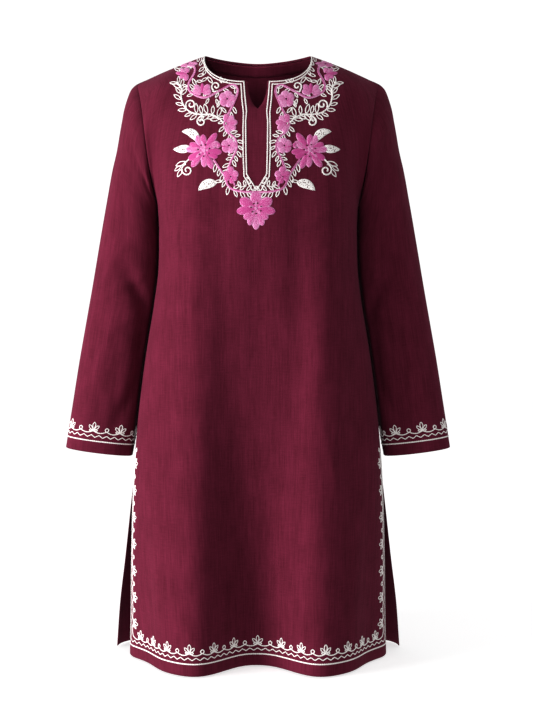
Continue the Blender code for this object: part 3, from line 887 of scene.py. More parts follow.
# Corners of a strand, in degrees from its side over its top
STRAND_CORNERS = np.radians([-20, 50, 130, 200])
SATIN_LIFT = 0.0001
PETAL_WIDEST = 0.62


class Sewing:
    """Collects the thread of one colour on one piece, to be made as a single mesh."""

    def __init__(self):
        self.corners, self.faces, self.maps, self.tones = [], [], [], []
        self.count = 0

    def add(self, grid, places, tone, on_cloth=None):
        """Adds a grid of points, with places across and along the thread for each."""
        shape = grid.shape[:2]
        faces = quads(np.arange(shape[0] * shape[1]).reshape(shape))
        if on_cloth is not None:
            faces = faces[on_cloth.ravel()[faces].all(1)]
        self.faces.append(self.count + faces)
        self.corners.append(grid.reshape(-1, 3))
        self.maps.append(places.reshape(-1, 2))
        self.tones.append(np.broadcast_to(tone, shape).ravel())
        self.count += shape[0] * shape[1]

    def make(self, name):
        used, faces = np.unique(np.concatenate(self.faces), return_inverse=True)
        faces = faces.reshape(-1, 4).tolist()
        piece = mesh_object(name, np.concatenate(self.corners)[used], faces)
        add_map(piece, "thread", np.concatenate(self.maps)[used])
        tone = piece.data.attributes.new("tone", "FLOAT", "POINT")
        tone.data.foreach_set("value", np.concatenate(self.tones)[used])
        return piece


def evenly(path, step):
    """Points at even steps along a path of design points."""
    path = np.asarray(path, float)
    far = lengths(path[:, None], 0)[:, 0]
    count = max(2, int(round(far[-1] / step)) + 1)
    at = np.linspace(0, far[-1], count)
    return together(*[np.interp(at, far, line) for line in path.T])


def through(points, steps=10, closed=False):
    """A smooth curve through a few design points."""
    points = np.asarray(points, float)
    if closed:
        points = np.concatenate([points[-1:], points, points[:2]])
    else:
        ends = 2 * points[[0, -1]] - points[[1, -2]]
        points = np.concatenate([ends[:1], points, ends[1:]])
    share = np.linspace(0, 1, steps, endpoint=False)[:, None]
    curve = [
        hermite(share, b, c, (c - a) / 2, (d - b) / 2)
        for a, b, c, d in zip(points, points[1:], points[2:], points[3:])
    ]
    return np.concatenate([*curve, points[-2:-1]])


def chain(sewing, lay, path, width=1.0, tone=0.0):
    """Sews chain stitch along a path."""
    path = evenly(path, LINK / RINGS_PER_LINK)
    points, normals = lay(path)
    on_cloth = np.abs(normals).sum(-1) > 0
    if not on_cloth.all():
        stretches = np.split(np.arange(len(path)), np.flatnonzero(np.diff(on_cloth)) + 1)
        for stretch in stretches:
            if on_cloth[stretch[0]] and len(stretch) > RINGS_PER_LINK:
                chain(sewing, lay, path[stretch[1:-1]], width, tone)
        return
    ahead = unit(np.gradient(points, axis=0))
    side = unit(np.cross(normals, ahead))
    far = lengths(points[:, None], 0)[:, 0]
    opening = np.abs(np.sin(np.pi * far / LINK)) ** 0.5
    rise = LIFT * width * (1 + 0.6 * np.cos(2 * np.pi * far / LINK))
    for way in (-1, 1):
        middle_line = points + side * (way * SPREAD * width * opening)[:, None]
        middle_line = middle_line + normals * rise[:, None]
        radius = THREAD * width
        grid = (
            middle_line[:, None]
            + side[:, None] * (np.cos(STRAND_CORNERS) * radius)[:, None]
            + normals[:, None] * (np.sin(STRAND_CORNERS) * radius)[:, None]
        )
        places = together(STRAND_CORNERS * radius, far[:, None] * way)
        sewing.add(grid[:, ::-1], places[:, ::-1], tone)


def satin(sewing, lay, spine, widths, tone, dome=0.0010, columns=11):
    """Fills a shape with satin stitch, from half widths along its spine."""
    ahead = unit(np.gradient(spine, axis=0))
    beside = crosswise(ahead)
    over = np.sin(np.linspace(-1, 1, columns) * np.pi / 2)
    design = spine[:, None] + beside[:, None] * (widths[:, None] * over)[..., None]
    points, normals = lay(design.reshape(-1, 2))
    points = points.reshape(*design.shape[:2], 3)
    normals = normals.reshape(points.shape)
    on_cloth = np.abs(normals).sum(-1) > 0
    full = np.clip(widths / widths.max(), 0, 1)[:, None]
    height = dome * full**0.5 * np.sqrt(np.clip(1 - over**2, 0, 1)) + SATIN_LIFT
    grid = points + normals * height[..., None]
    along = lengths(spine[:, None], 0)
    places = together(widths.max() * over, along)
    root = np.linspace(1, 0, len(spine))[:, None] ** 2
    tones = tone - EDGE_PALER * np.abs(over) ** 5 + ROOT_DEEPER * root
    sewing.add(grid[:, ::-1], places[:, ::-1], tones[:, ::-1], on_cloth[:, ::-1])


def crosswise(ahead):
    """Directions turned a quarter to the left."""
    return together(-ahead[:, 1], ahead[:, 0])


def polar(angle, length):
    return np.array([np.cos(np.radians(angle)), np.sin(np.radians(angle))]) * length


def petal(sewing, lay, root, angle, length, width, tone):
    """A rounded petal that widens toward its tip."""
    share = 1 - (1 - np.linspace(0, 1, 9)) ** 1.6
    early = 0.42 + 0.58 * np.sin(np.pi / 2 * np.clip(share / PETAL_WIDEST, 0, 1))
    late = np.sqrt(np.clip(1 - ((share - PETAL_WIDEST) / (1 - PETAL_WIDEST)) ** 2, 0.02, 1))
    widths = width / 2 * np.where(share < PETAL_WIDEST, early, late)
    spine = np.asarray(root) + share[:, None] * polar(angle, length)
    satin(sewing, lay, spine, widths, tone)


def filled_leaf(sewing, lay, base, tip, width, bend):
    """A pointed leaf filled with thread, its spine bent to one side."""
    base, tip = np.asarray(base), np.asarray(tip)
    share = np.linspace(0, 1, 15)
    side = np.array([base[1] - tip[1], tip[0] - base[0]])
    spine = base + share[:, None] * (tip - base) + np.sin(np.pi * share)[:, None] * side * bend
    widths = width / 2 * np.sin(np.pi * share**0.8) ** 0.75 + 0.0002
    satin(sewing, lay, spine, widths, 2.0)


def loop_leaf(sewing, lay, root, angle, length, width):
    """An open leaf, sewn round its edge."""
    share = np.linspace(0, 1, 11)
    swell = 2 * share * (1 - share) * width
    along = np.asarray(root) + share[:, None] * polar(angle, length)
    beside = polar(angle + 90, 1)
    swell = swell[:, None] * beside
    edge = np.concatenate([along + swell, (along - swell)[::-1]])
    chain(sewing, lay, edge, THIN * 0.92)


def curl(sewing, lay, centre, radius, start, turns, width=1.0):
    """A spiral that winds in toward its centre; turns may be negative."""
    share = np.linspace(0, 1, 40)
    angle = start + 360 * turns * share
    reach = radius * (1 - 0.80 * share**0.85)
    path = np.asarray(centre) + np.stack([polar(a, r) for a, r in zip(angle, reach)])
    chain(sewing, lay, path, width)


THIN = 0.72
LEAF_WIDE = 0.36
mirror = np.array([-1, 1])


def both_sides(design):
    """Left and right copies of a design that is drawn for the viewer's left."""
    return [np.asarray(design, float) * MM, np.asarray(design, float) * MM * mirror]


def two_places(motif):
    """Left and right places of a motif, each with its flip: 1 as drawn, -1 mirrored."""
    return [(np.array([motif.x * flip, motif.z]) * MM, flip) for flip in (1, -1)]


def flipped(angle, flip):
    return angle if flip > 0 else 180 - angle


# %% [markdown]
# ## The neck
#
# White lines edge the neckline and its slit, between vines, flowers and leaves. All of it
# could be drawn by hand, but the two sides are alike. So the tables hold the viewer's left
# half in millimetres, from the middle of the neck, and every motif is sewn twice.

# %% Lines round the neckline and the placket
white, pink = Sewing(), Sewing()
LINE_OFFSETS = (0.0022, 0.0084)
PLACKETS = (
    [(-21, -41), (-19.5, -62), (-16.5, -90), (-18, -106), (-17.6, -150), (-16.5, -192), (-1, -217)],
    [(-25.5, -45), (-24, -70), (-21.5, -92), (-22.3, -120), (-22, -160), (-20.5, -196), (-5, -222)],
)
LINE_WIDTH = 0.82
EDGE_POINTS = 60

yoke = slice(len(drops) - 1, None)
neck_edges = {
    -1: np.flatnonzero((across_front <= 1e-9) & (across_front >= -NECK_SHARE - 1e-9))[: middle + 1],
    1: np.flatnonzero((across_front >= -1e-9) & (across_front <= NECK_SHARE + 1e-9))[1:][::-1],
}
for side, columns in neck_edges.items():
    turned = [grid[yoke][:, columns][::-1].swapaxes(0, 1) for grid in (front_points, front_normals)]
    lay = beside_edge(*turned)
    edge_length = lengths(turned[0][:, :1], 0)[-1, 0]
    for offset, placket in zip(LINE_OFFSETS, PLACKETS):
        placket_line = np.array(placket) * MM * (-side, 1)
        around = np.linspace(0, edge_length, EDGE_POINTS)
        edge_line = together(around, offset)
        seen = np.array([sight_of(point) for point in lay(edge_line)[0]])
        kept = np.abs(seen[:, 0]) >= abs(placket_line[0, 0])
        chain(white, lay, edge_line[kept], LINE_WIDTH)
        chain(white, on_front, np.concatenate([seen[kept][-1:], placket_line]), LINE_WIDTH)
print("white thread corners:", white.count)

# %% Vines
VINES = [
    [(-102, -14), (-100, -26), (-110, -45), (-107, -58), (-85, -67), (-61, -56), (-39, -46),
     (-30, -57), (-40, -84), (-52, -108), (-47, -123), (-35, -134), (-32, -151), (-42, -173),
     (-49, -194)],
    [(-70, -168), (-54, -192), (-44, -213), (-25, -220), (0, -221)],
]
PALE_OFFSET = 0.0017

for vine in VINES:
    for design in both_sides(vine):
        curve = through(design)
        heading = unit(np.gradient(curve, axis=0))
        beside = crosswise(heading) * np.sign(design[0, 0])
        chain(pink, on_front, curve, 0.95, 0.55)
        chain(pink, on_front, curve + beside * PALE_OFFSET, 0.70, 0.0)
print("pink thread corners:", pink.count)

# %% Flowers
# Petals are (angle, share of the flower's radius, width share, tone from pale to deep)
BIG_REACH = (1.0, 0.84, 1.12, 0.88, 0.94, 0.80, 1.04, 0.86, 1.06, 0.94, 1.10, 0.82)
BIG_TONE = (0.25, 0.6, 0.7, 0.3, 0.85, 0.9, 0.6, 0.4, 0.55, 0.9, 0.3, 0.7)
BIG_TURN = (0, 5, -4, 3, -3, 6, -2, 4, -5, 2, -4, 5)
BIG = [
    (118 - 30 * i + turn, reach, 0.35, tone + 0.12)
    for i, (reach, tone, turn) in enumerate(zip(BIG_REACH, BIG_TONE, BIG_TURN))
]
INNER = [(100 + 60 * i, 0.58, 0.30, (0.15, 0.45, 0.30, 0.55, 0.75, 0.60)[i]) for i in range(6)]
HEART = [(72 * i, 0.24, 0.18, 0.15) for i in range(5)]
ROUND = [(80 + 72 * i, 1.0, 0.98, 0.20 + 0.12 * (i % 3)) for i in range(5)]
FAN_UP = [(158, 0.95, 0.62, 0.25), (22, 0.95, 0.62, 0.35), (128, 1.1, 0.62, 0.30),
          (52, 1.15, 0.62, 0.45), (88, 1.05, 0.36, 0.95)]
FAN_SIDE = [(85, 1.0, 0.72, 0.5), (-70, 1.0, 0.72, 0.3), (45, 1.1, 0.68, 0.25),
            (-30, 1.15, 0.68, 0.4), (8, 1.2, 0.66, 0.5)]
FAN_LEFT = [(100, 0.8, 0.6, 0.45), (-110, 0.9, 0.55, 0.5), (140, 1.0, 0.55, 0.3),
            (-150, 1.0, 0.5, 0.55), (175, 1.25, 0.45, 0.9)]
SHOULDER = [(90 + 72 * i, 1.1, 0.85, 0.30 + 0.12 * (i % 3)) for i in range(5)]
CUP = [(145, 1.0, 0.85, 0.65), (35, 1.0, 0.85, 0.45), (90, 1.25, 0.80, 0.55), (-75, 0.8, 0.6, 0.8),
       (-20, 0.8, 0.6, 0.65), (205, 0.8, 0.6, 0.7)]
BUD = [(150, 1.0, 0.7, 0.7), (200, 1.0, 0.6, 0.5), (-20, 1.2, 0.5, 0.9)]
FLOWERS = table(
    "x z radius petals upright",
    (-112, -13, 15, SHOULDER, 0.35), (-112, -29, 16, FAN_LEFT, 0.80),
    (-89, -62, 17, FAN_UP, 1), (-48, -70, 14, ROUND, 1), (-50, -110, 16, FAN_SIDE, 1),
    (-45, -146, 13, ROUND, 1), (-58, -146, 8, BUD, 1),
    (-86, -154, 31.5, BIG, 1), (-86, -154, 31.5, INNER, 1), (-86, -154, 31.5, HEART, 1),
    (-42, -197, 14, CUP, 1),
)
CENTRE_FLOWER_PLACE = (-1, -248)
CENTRE_PETALS = [
    (90, 26, 20, 0.55), (150, 28, 17, 0.75), (30, 28, 17, 0.65), (190, 30, 14, 0.85),
    (-10, 30, 14, 0.75), (222, 24, 13, 0.6), (-42, 24, 13, 0.6), (248, 28, 13, 0.5),
    (-68, 28, 13, 0.5), (270, 33, 13, 0.35),
    (90, 12, 8, 0.2), (162, 11, 7, 0.3), (18, 11, 7, 0.3), (234, 12, 7, 0.2), (306, 12, 7, 0.2),
]
CENTRE_ROOT = 2
ROOT_GAP = 0.10
# Middles of the large flowers: x, z, size of the heart and distance of the dark seeds
HEARTS = [(-86, -154, 7.5, 9.5), (86, -154, 7.5, 9.5), (-1, -248, 6.0, 8.5)]
HEART_TONE = 0.20
HEART_DOME = 0.0013
SEED_ANGLES = (20, 75, 118, 171, 222, 268, 330)
SEED_SIZE = 0.0027
SEED_TONE = 3.0
SEED_DOME = 0.0019


def dot(place, size, tone, dome):
    """A small round of satin stitch."""
    share = np.linspace(-0.98, 0.98, 9)
    spine = place + together(share, 0) * size / 2
    satin(pink, on_front, spine, size / 2 * np.sqrt(1 - share**2), tone, dome, 9)


def leaning(place, upright):
    """Lays a motif with its height scaled, where the cloth slopes away from the camera."""
    def lay(design):
        return on_front(place + (design - place) * (1, upright))

    return lay


for flower in FLOWERS:
    for middle_place, flip in two_places(flower):
        lay = leaning(middle_place, flower.upright)
        for angle, reach, wide, tone in flower.petals:
            angle = flipped(angle, flip)
            root = middle_place + polar(angle, flower.radius * ROOT_GAP * MM)
            length = flower.radius * (reach - ROOT_GAP) * MM
            petal(pink, lay, root, angle, length, flower.radius * wide * MM, tone)
for angle, length, wide, tone in CENTRE_PETALS:
    root = np.array(CENTRE_FLOWER_PLACE) * MM + polar(angle, CENTRE_ROOT * MM)
    petal(pink, on_front, root, angle, length * MM, wide * MM, tone)
for x, z, size, reach in HEARTS:
    place = np.array([x, z]) * MM
    dot(place, size * MM, HEART_TONE, HEART_DOME)
    for angle in SEED_ANGLES:
        dot(place + polar(angle, reach * MM), SEED_SIZE, SEED_TONE, SEED_DOME)
print("pink thread corners:", pink.count)

# %% Leaves, sprigs and spirals
# A sprig is a line with open leaves along it: side 1 is to the left of its direction
BRANCH = [(-54, -109), (-62, -101), (-75, -95), (-92, -95), (-108, -91), (-119, -80), (-123, -66),
          (-123, -52), (-130, -42)]
VINE = VINES[0]
SPRIGS = table(
    "line side start stop count lean size",
    (BRANCH, -1, 0.12, 0.42, 5, 76, 15), (BRANCH, -1, 0.8, 0.97, 4, 44, 12),
    (BRANCH, 1, 0.08, 0.98, 12, 46, 13), (VINE, 1, 0.08, 0.24, 5, 58, 12),
    (VINE, -1, 0.36, 0.45, 3, 50, 10), (VINE, 1, 0.57, 0.66, 4, 50, 11),
    (VINE, -1, 0.64, 0.77, 6, 62, 11), (VINE, 1, 0.74, 0.91, 7, 54, 11),
    (VINE, -1, 0.86, 0.97, 4, 44, 12), (VINES[1], -1, 0.08, 0.84, 8, 48, 13),
    (VINES[1], 1, 0.6, 0.95, 4, 52, 11),
)
LEAVES = table(
    "x z angle length",
    (-101, -17, 172, 12), (-106, -19, 190, 12), (-96, -10, 78, 10), (-93, -16, 62, 10),
    (-94, -25, 40, 11), (-96, -33, 20, 11), (-98, -41, 0, 10), (-101, -49, -20, 10),
    (-72, -44, 128, 13), (-55, -43, 34, 12), (-57, -44, 100, 10), (-66, -70, -70, 11),
    (-60, -73, 248, 11), (-62, -60, 235, 9), (-78, -69, 244, 10), (-104, -62, 200, 10),
    (-112, -50, 160, 9), (-57, -84, -48, 11), (-116, -172, 204, 17), (-123, -179, 217, 13),
    (-121, -184, 237, 15), (-57, -203, 190, 11), (-120, -17, 190, 12), (-124, -24, 158, 11),
    (-90, -8, 60, 9), (-104, -8, 150, 11), (-88, -32, 60, 11), (-90, -41, 30, 11),
    (-10, -208, 120, 12), (-18, -213, 104, 11), (-26, -214, 112, 11),
)
FILLED_LEAVES = [
    ((-95, -139), (-122, -123), 14, -0.20),
    ((-107, -149), (-136, -152), 13, 0.04),
    ((-65, -207), (-95, -219), 15, -0.14),
]
CURLS = table(
    "x z radius start turns",
    (-107, -79, 9, 215, -1.3), (-90, -107, 9, 60, 1.35),
    (-66, -49, 8, 235, -1.15), (-113, -186, 10.5, 100, 1.4),
)
STALKS = [
    (white, [(-110, -168), (-117, -175), (-116, -178)], 1.0, 0.0),
    (white, [(-63, -57), (-70, -58), (-71, -54)], 1.0, 0.0),
    (pink, [(-35, -213), (-38, -204), (-42, -197)], 1.2, 0.5),
]

for sprig in SPRIGS:
    for design in both_sides(sprig.line):
        flip = 1 if design[0, 0] <= 0 and design[-1, 0] <= 0 else -1
        curve = evenly(through(design), 0.0005)
        places = (np.linspace(sprig.start, sprig.stop, sprig.count) * (len(curve) - 2)).astype(int)
        for n, place in enumerate(places):
            heading = np.degrees(np.arctan2(*(curve[place + 1] - curve[place])[::-1]))
            angle = heading + flip * sprig.side * sprig.lean
            size = sprig.size * (1 + 0.08 * (-1) ** n) * MM
            root = curve[place] + polar(angle, 0.0012)
            loop_leaf(white, on_front, root, angle, size, size * LEAF_WIDE)
for design in both_sides(BRANCH):
    chain(white, on_front, through(design))
for leaf in LEAVES:
    size = leaf.length * MM
    for root, flip in two_places(leaf):
        loop_leaf(white, on_front, root, flipped(leaf.angle, flip), size, size * LEAF_WIDE)
for base, tip, width, bend in FILLED_LEAVES:
    for design, turn in zip(both_sides([base, tip]), (1, -1)):
        filled_leaf(white, on_front, design[0], design[1], width * MM, bend * turn)
for one in CURLS:
    for centre, flip in two_places(one):
        start = flipped(one.start, flip)
        curl(white, on_front, centre, one.radius * MM, start, one.turns * flip)
for sewing, stalk, width, tone in STALKS:
    for design in both_sides(stalk):
        chain(sewing, on_front, through(design), width, tone)
neck_white = white.make("neck_embroidery_white")
neck_pink = pink.make("neck_embroidery_pink")
print("neck faces:", len(neck_white.data.polygons), len(neck_pink.data.polygons))

# %% [markdown]
# ## The borders
#
# One border runs along the front hem, up the edges of the side slits and round both cuffs:
# a plain line, a zigzag, and a hanging vine that carries a lotus and a ring in turn. An
# array modifier could repeat its motifs, but a loop can fit a whole number of them.

# %% One border, in its own length and height
LINE_UP = 0.0180
ZIGZAG_UP = 0.0076
ZIGZAG_HIGH = 0.0038
ZIGZAG_WAVE = 0.0125
VINE_UP = 0.0160
SAG = 0.0032
LOTUS_HIGH = 0.0135
RING_WIDE = 0.0055
BORDER_STEP = 0.001
# Lean and size of each petal, in the order in which they are sewn
LOTUS_PETALS = ((-82, 0.50), (82, 0.50), (-43, 0.84), (43, 0.84), (0, 1.0))


def lotus(sewing, lay, foot, up):
    """Five open petals on one foot, each widest near its tip."""
    for lean, size in LOTUS_PETALS:
        share = np.linspace(0, 1, 11)
        swell = 0.17 * np.sin(np.pi * share**1.7) ** 0.8
        half_petal = together(share, swell) * LOTUS_HIGH * size
        edge = np.concatenate([half_petal, (half_petal * (1, -1))[::-1]])
        turn = np.array([polar(up + lean, 1), polar(up + lean + 90, 1)])
        chain(sewing, lay, foot + edge @ turn, THIN * 0.85)


def border(sewing, lay, start, stop, base, spacing, corners=(0, 0), closed=False, line=0.88):
    """Sews a border from start to stop, its plain line base above the cloth's edge.

    At a corner, given as 1, each part stops as far in as it stands above the plain line.
    """
    def stretch(inset):
        low, high = start + inset * corners[0], stop - inset * corners[1]
        return low, high, np.linspace(low, high, int((high - low) / BORDER_STEP))

    chain(sewing, lay, together(stretch(0)[2], base), line)
    low, high, fine = stretch(ZIGZAG_UP)
    phase = (fine - low) / (high - low) * round((high - low) / ZIGZAG_WAVE)
    zigzag = base + ZIGZAG_UP + ZIGZAG_HIGH / 2 * (2 * np.abs(2 * (phase % 1) - 1) - 1)
    chain(sewing, lay, together(fine, zigzag), line * THIN)
    low, high, _ = stretch(VINE_UP)
    pairs = round((high - low) / spacing)
    step = (high - low) / pairs / 2
    for n in range(2 * pairs):
        share = np.linspace(0, 1, 9)
        x = low + (n + share) * step
        z = base + VINE_UP - SAG * np.sin(np.pi * share)
        chain(sewing, lay, together(x, z), THIN)
    for n in range(corners[0], 2 * pairs + 1 - corners[1] - closed):
        foot = np.array([low + n * step, base + VINE_UP])
        if (n + corners[0]) % 2:
            curl_path = foot + [0, RING_WIDE / 2] + np.stack(
                [polar(a, RING_WIDE / 2) for a in np.linspace(-90, 270, 13)]
            )
            chain(sewing, lay, curl_path, THIN)
        else:
            lotus(sewing, lay, foot, 90)


# %% Hem, slits and cuffs
SLIT_TOP_UP = 0.335
SLIT_IN = 0.0150
HEM_SPACING = 0.0415
SLIT_SPACING = 0.0440

hem_sewing = Sewing()
hem_half = lengths(front_points, 1)[0, -1] / 2
border(hem_sewing, on_hem(front_points, front_normals), -hem_half + SLIT_IN, hem_half - SLIT_IN,
       LINE_UP, HEM_SPACING, corners=(1, 1))
hem_embroidery = hem_sewing.make("hem_embroidery")

slit_sewing = Sewing()
for order in (slice(None), slice(None, None, -1)):
    lay = beside_edge(front_points[:, order], front_normals[:, order])
    border(slit_sewing, lay, LINE_UP, SLIT_TOP_UP, SLIT_IN, SLIT_SPACING, corners=(1, 0), line=0.62)
slit_embroidery = slit_sewing.make("slit_embroidery")

cuffs = {}
for name, (points, normals) in sleeve_grids.items():
    cuff_sewing = Sewing()
    lay, circumference = on_cuff(points, normals)
    border(cuff_sewing, lay, 0, circumference, LINE_UP, HEM_SPACING, closed=True)
    cuffs[name] = cuff_sewing.make(name.replace("sleeve", "cuff") + "_embroidery")
print("border faces:", len(hem_embroidery.data.polygons), len(slit_embroidery.data.polygons),
      [len(piece.data.polygons) for piece in cuffs.values()])

# %% [markdown]
# ## Materials
#
# The linen's threads are not even: thick ones show as short streaks both ways. Pictures of
# cloth could show them, but noise needs no image and never repeats. A small class lets the
# sums of a shader be written as sums.


# %% Shader arithmetic
class Wire:
    """An output of a shader node that can be used in ordinary sums."""

    def __init__(self, tree, socket=None):
        self.tree = tree
        self.socket = socket

    def node(self, kind, settings, sockets, output=0):
        """Adds a node of a kind, with its settings and sockets, and returns one output."""
        made = self.tree.nodes.new(kind)
        for name, value in settings.items():
            setattr(made, name, value)
        for place, value in sockets.items():
            if isinstance(value, Wire):
                self.tree.links.new(value.socket, made.inputs[place])
            else:
                made.inputs[place].default_value = value
        return Wire(self.tree, made.outputs[output])

    def sum(self, operation, *values):
        return self.node("ShaderNodeMath", {"operation": operation}, dict(enumerate(values)))

    def __add__(self, other):
        return self.sum("ADD", self, other)

    def __sub__(self, other):
        return self.sum("SUBTRACT", self, other)

    def __rsub__(self, other):
        return self.sum("SUBTRACT", other, self)

    def __mul__(self, other):
        return self.sum("MULTIPLY", self, other)

    __radd__ = __add__
    __rmul__ = __mul__

    def noise(self, vector, detail=2.0):
        settings = {"noise_dimensions": "3D"}
        sockets = {"Vector": vector, "Scale": 1.0, "Detail": detail}
        return self.node("ShaderNodeTexNoise", settings, sockets)

    def vector(self, x, y, z=0.0):
        return self.node("ShaderNodeCombineXYZ", {}, {0: x, 1: y, 2: z})

    def mix(self, share, first, second):
        settings = {"data_type": "RGBA", "clamp_factor": True}
        return self.node("ShaderNodeMix", settings, {0: share, 6: first, 7: second}, 2)


def new_material(name, roughness, sheen, sheen_tint, others):
    material = bpy.data.materials.new(name)
    material.use_nodes = True
    shader = material.node_tree.nodes["Principled BSDF"]
    sockets = {
        "Roughness": roughness, "Metallic": 0.0, "Specular IOR Level": 0.10,
        "Sheen Weight": sheen, "Sheen Roughness": 0.45, "Sheen Tint": sheen_tint, **others,
    }
    for socket, value in sockets.items():
        shader.inputs[socket].default_value = value
    return material, shader


def finish_material(wire, shader, colour, height, strength):
    sockets = {"Height": height, "Distance": 1.0, "Strength": strength}
    bump = wire.node("ShaderNodeBump", {}, sockets)
    wire.tree.links.new(colour.socket, shader.inputs["Base Color"])
    wire.tree.links.new(bump.socket, shader.inputs["Normal"])


def uv_of(wire, name):
    place = wire.node("ShaderNodeUVMap", {"uv_map": name}, {})
    split = wire.node("ShaderNodeSeparateXYZ", {}, {0: place}).socket.node
    return [Wire(wire.tree, split.outputs[i]) for i in (0, 1)]


def wave(wire, place, length):
    return wire.sum("SINE", place * (2 * np.pi / length))


# %% Linen and thread
LINEN_DARK = (0.078, 0.0078, 0.0190, 1.0)
LINEN_LIGHT = (0.182, 0.0235, 0.0545, 1.0)
WHITE_THREAD = (0.89, 0.87, 0.85, 1.0)
WHITE_SHADE = (0.72, 0.68, 0.66, 1.0)
SPECK = (0.10, 0.03, 0.04, 1.0)
PINK_PALE = (0.80, 0.43, 0.66, 1.0)
PINK_DEEP = (0.55, 0.085, 0.29, 1.0)
# White thread glows faintly: painted light that keeps it bright where it lies in shade
THREAD_GLOW_PAINTED_LIGHT = 0.10
WHITE = (1.0, 1.0, 1.0, 1.0)
# Lengths of one turn of the weave, and of the twist in white and in pink thread
WEAVE_LENGTH = 0.0011
WHITE_TWIST = 0.0009
PINK_TWIST = 0.0008
# Tones above these are sewn in specked white thread and in dark thread
SPECKED = 0.5
DARK = 2.0
SPECK_SHARE = 0.64
# The linen's uneven threads: noise across and along, place in the noise, detail and strength
GRAIN = {
    "weft": (60, 640, 0, 2, 0.50),
    "warp": (600, 26, 4, 2, 0.82),
    "streak": (120, 5, 6, 2, 0.50),
    "mottle": (34, 20, 9, 3, 0.60),
}


def linen():
    material, shader = new_material("linen", 0.88, 0.09, (0.9, 0.42, 0.58, 1.0), {})
    wire = Wire(material.node_tree)
    u, v = uv_of(wire, "weave")
    weave = wave(wire, u, WEAVE_LENGTH) * wave(wire, v, WEAVE_LENGTH)
    share = 0.5 + 0.05 * weave
    grain = {}
    for name, (across, along, place, detail, strength) in GRAIN.items():
        grain[name] = wire.noise(wire.vector(u * across, v * along, place), detail)
        share = share + strength * (grain[name] - 0.5)
    colour = wire.mix(share, LINEN_DARK, LINEN_LIGHT)
    soft = wire.noise(wire.vector(u * 24, v * 15, 2.0))
    height = 0.00005 * weave + 0.00014 * grain["weft"] + 0.00018 * grain["warp"] + 0.0012 * soft
    finish_material(wire, shader, colour, height, 0.8)
    return material


def white_thread():
    # The white thread's faint glow is painted light, lifting it where it lies in shade
    glow = {"Emission Strength": THREAD_GLOW_PAINTED_LIGHT}
    material, shader = new_material("white_thread", 0.62, 0.15, WHITE, glow)
    wire = Wire(material.node_tree)
    u, v = uv_of(wire, "thread")
    tone = wire.node("ShaderNodeAttribute", {"attribute_name": "tone"}, {}, 2)
    ply = wave(wire, v + u * 0.7, WHITE_TWIST)
    uneven = wire.noise(wire.vector(u * 900, v * 500))
    thread = wire.mix(0.35 + 0.3 * ply, WHITE_THREAD, WHITE_SHADE)
    spots = wire.noise(wire.vector(u * 480, v * 480, 7.0), 0.0)
    is_speck = wire.sum("GREATER_THAN", spots, SPECK_SHARE)
    colour = wire.mix(is_speck * wire.sum("GREATER_THAN", tone, SPECKED), thread, SPECK)
    wire.tree.links.new(colour.socket, shader.inputs["Emission Color"])
    finish_material(wire, shader, colour, 0.00008 * ply + 0.00010 * uneven, 0.7)
    return material


def pink_thread():
    material, shader = new_material("pink_thread", 0.55, 0.20, (1.0, 0.75, 0.9, 1.0), {})
    wire = Wire(material.node_tree)
    u, v = uv_of(wire, "thread")
    tone = wire.node("ShaderNodeAttribute", {"attribute_name": "tone"}, {}, 2)
    ply = wave(wire, u, PINK_TWIST)
    patch = wire.noise(wire.vector(u * 560, v * 340), 3.0)
    share = tone + 0.16 + 2.2 * (patch - 0.5) + 0.10 * ply
    petal_colour = wire.mix(share, PINK_PALE, PINK_DEEP)
    colour = wire.mix(wire.sum("GREATER_THAN", tone, DARK), petal_colour, SPECK)
    finish_material(wire, shader, colour, 0.00007 * ply + 0.00012 * patch, 0.8)
    return material


cloth_material, white_material, pink_material = linen(), white_thread(), pink_thread()

# %% [markdown]
# ## The pieces on the body
#
# Every shell replaces its solid and rides on the one body, and the table gives the flat cut
# of cloth that it was sewn from. Each stitched piece goes with the cloth under it. One table
# lists them all, so that no piece is left out.

# %% Slots, flat cuts and bodies
Cut = namedtuple("Cut", "node piece width length area pieces")
CUTS = [
    Cut("front", front, 0.62, 1.04, 0.51, [neck_white, neck_pink, hem_embroidery, slit_embroidery]),
    Cut("back", back, 0.60, 1.05, 0.51, []),
    Cut("sleeve_left", sleeves["sleeve_left"], 0.35, 0.63, 0.19, [cuffs["sleeve_left"]]),
    Cut("sleeve_right", sleeves["sleeve_right"], 0.35, 0.63, 0.19, [cuffs["sleeve_right"]]),
    Cut("back_neck_facing", facing, 0.19, 0.027, 0.005, []),
]
for cut in CUTS:
    cut.piece.data.materials.append(cloth_material)
    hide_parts(cut.node)
    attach(cut.piece, "root")
    for sewn in cut.pieces:
        is_pink = sewn is neck_pink
        sewn.data.materials.append(pink_material if is_pink else white_material)
        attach(sewn, "root")
for cut in CUTS:
    measured = sum(face.area for face in cut.piece.data.polygons) / 2
    print(cut.node, "cloth area", round(measured, 4), "of", cut.area)
    held_by = [] if cut.node == "back" else ["back_cloth"]

# %% [markdown]
# ## Studio
#
# A plain white floor and a pale room, one soft light low on the left, and a narrow light
# through the open neck that picks out the facing behind it. A brighter room could do that
# too, but it would wash out the folds.

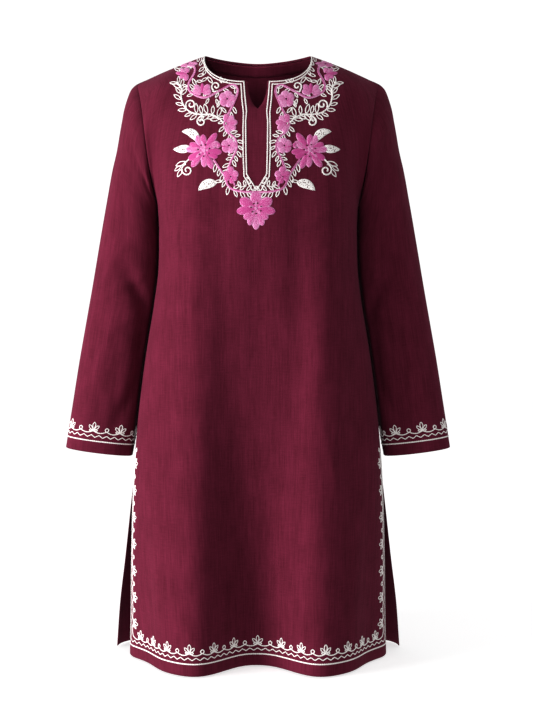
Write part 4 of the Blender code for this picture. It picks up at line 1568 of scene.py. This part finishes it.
# %% Floor, room and lights
FLOOR_GAP = 0.003
FLOOR_RADIUS = 12
FLOOR_SIDES = 64
FLOOR_LOOK = {
    "Base Color": (0.60, 0.60, 0.60, 1.0), "Emission Color": WHITE, "Emission Strength": 0.66,
}
floor_mesh = bpy.data.meshes.new("floor")
floor_turns = np.arange(FLOOR_SIDES) / FLOOR_SIDES * 2 * np.pi
floor_corners = together(np.cos(floor_turns), np.sin(floor_turns), 0) * FLOOR_RADIUS
floor_mesh.from_pydata(floor_corners.tolist(), [], [list(range(FLOOR_SIDES))])
floor = bpy.data.objects.new("floor", floor_mesh)
floor.location.z = -LENGTH - FLOOR_GAP
bpy.context.scene.collection.objects.link(floor)
floor.data.materials.append(new_material("floor", 0.9, 0.0, WHITE, FLOOR_LOOK)[0])
floor.visible_diffuse = False
floor.visible_glossy = False

ROOM_LIGHT = 0.62
ROOM_SEEN = 1.05
world = bpy.data.worlds.new("room")
world.use_nodes = True
bpy.context.scene.world = world
room = Wire(world.node_tree)
seen = room.node("ShaderNodeLightPath", {}, {})
plain = world.node_tree.nodes["Background"]
plain.inputs["Color"].default_value = WHITE
brightness = ROOM_LIGHT + (ROOM_SEEN - ROOM_LIGHT) * seen
world.node_tree.links.new(brightness.socket, plain.inputs["Strength"])


def lamp(name, kind, place, aim, power, **settings):
    """A light at a place, turned toward its aim."""
    data = bpy.data.lights.new(name, kind)
    data.energy = power
    for setting, value in settings.items():
        setattr(data, setting, value)
    light = bpy.data.objects.new(name, data)
    light.location = place
    light.rotation_euler = (Vector(aim) - Vector(place)).to_track_quat("-Z", "Y").to_euler()
    bpy.context.scene.collection.objects.link(light)


lamp("key", "AREA", (-2.85, -1.30, -0.50), (0, 0, -0.45), 164, shape="DISK", size=1.2)
lamp("neck", "SPOT", (-0.35, -1.15, 0.14), (0, 0.07, 0.065), 170,
     spot_size=np.radians(8.2), spot_blend=1.0, shadow_soft_size=0.05)
look = bpy.context.scene.view_settings
look.view_transform = "Standard"
look.gamma = 0.8

# %% [markdown]
# ## Finish
#
# Thread and creases stand a little above the solids.

# %% Finish
bpy.context.view_layer.update()
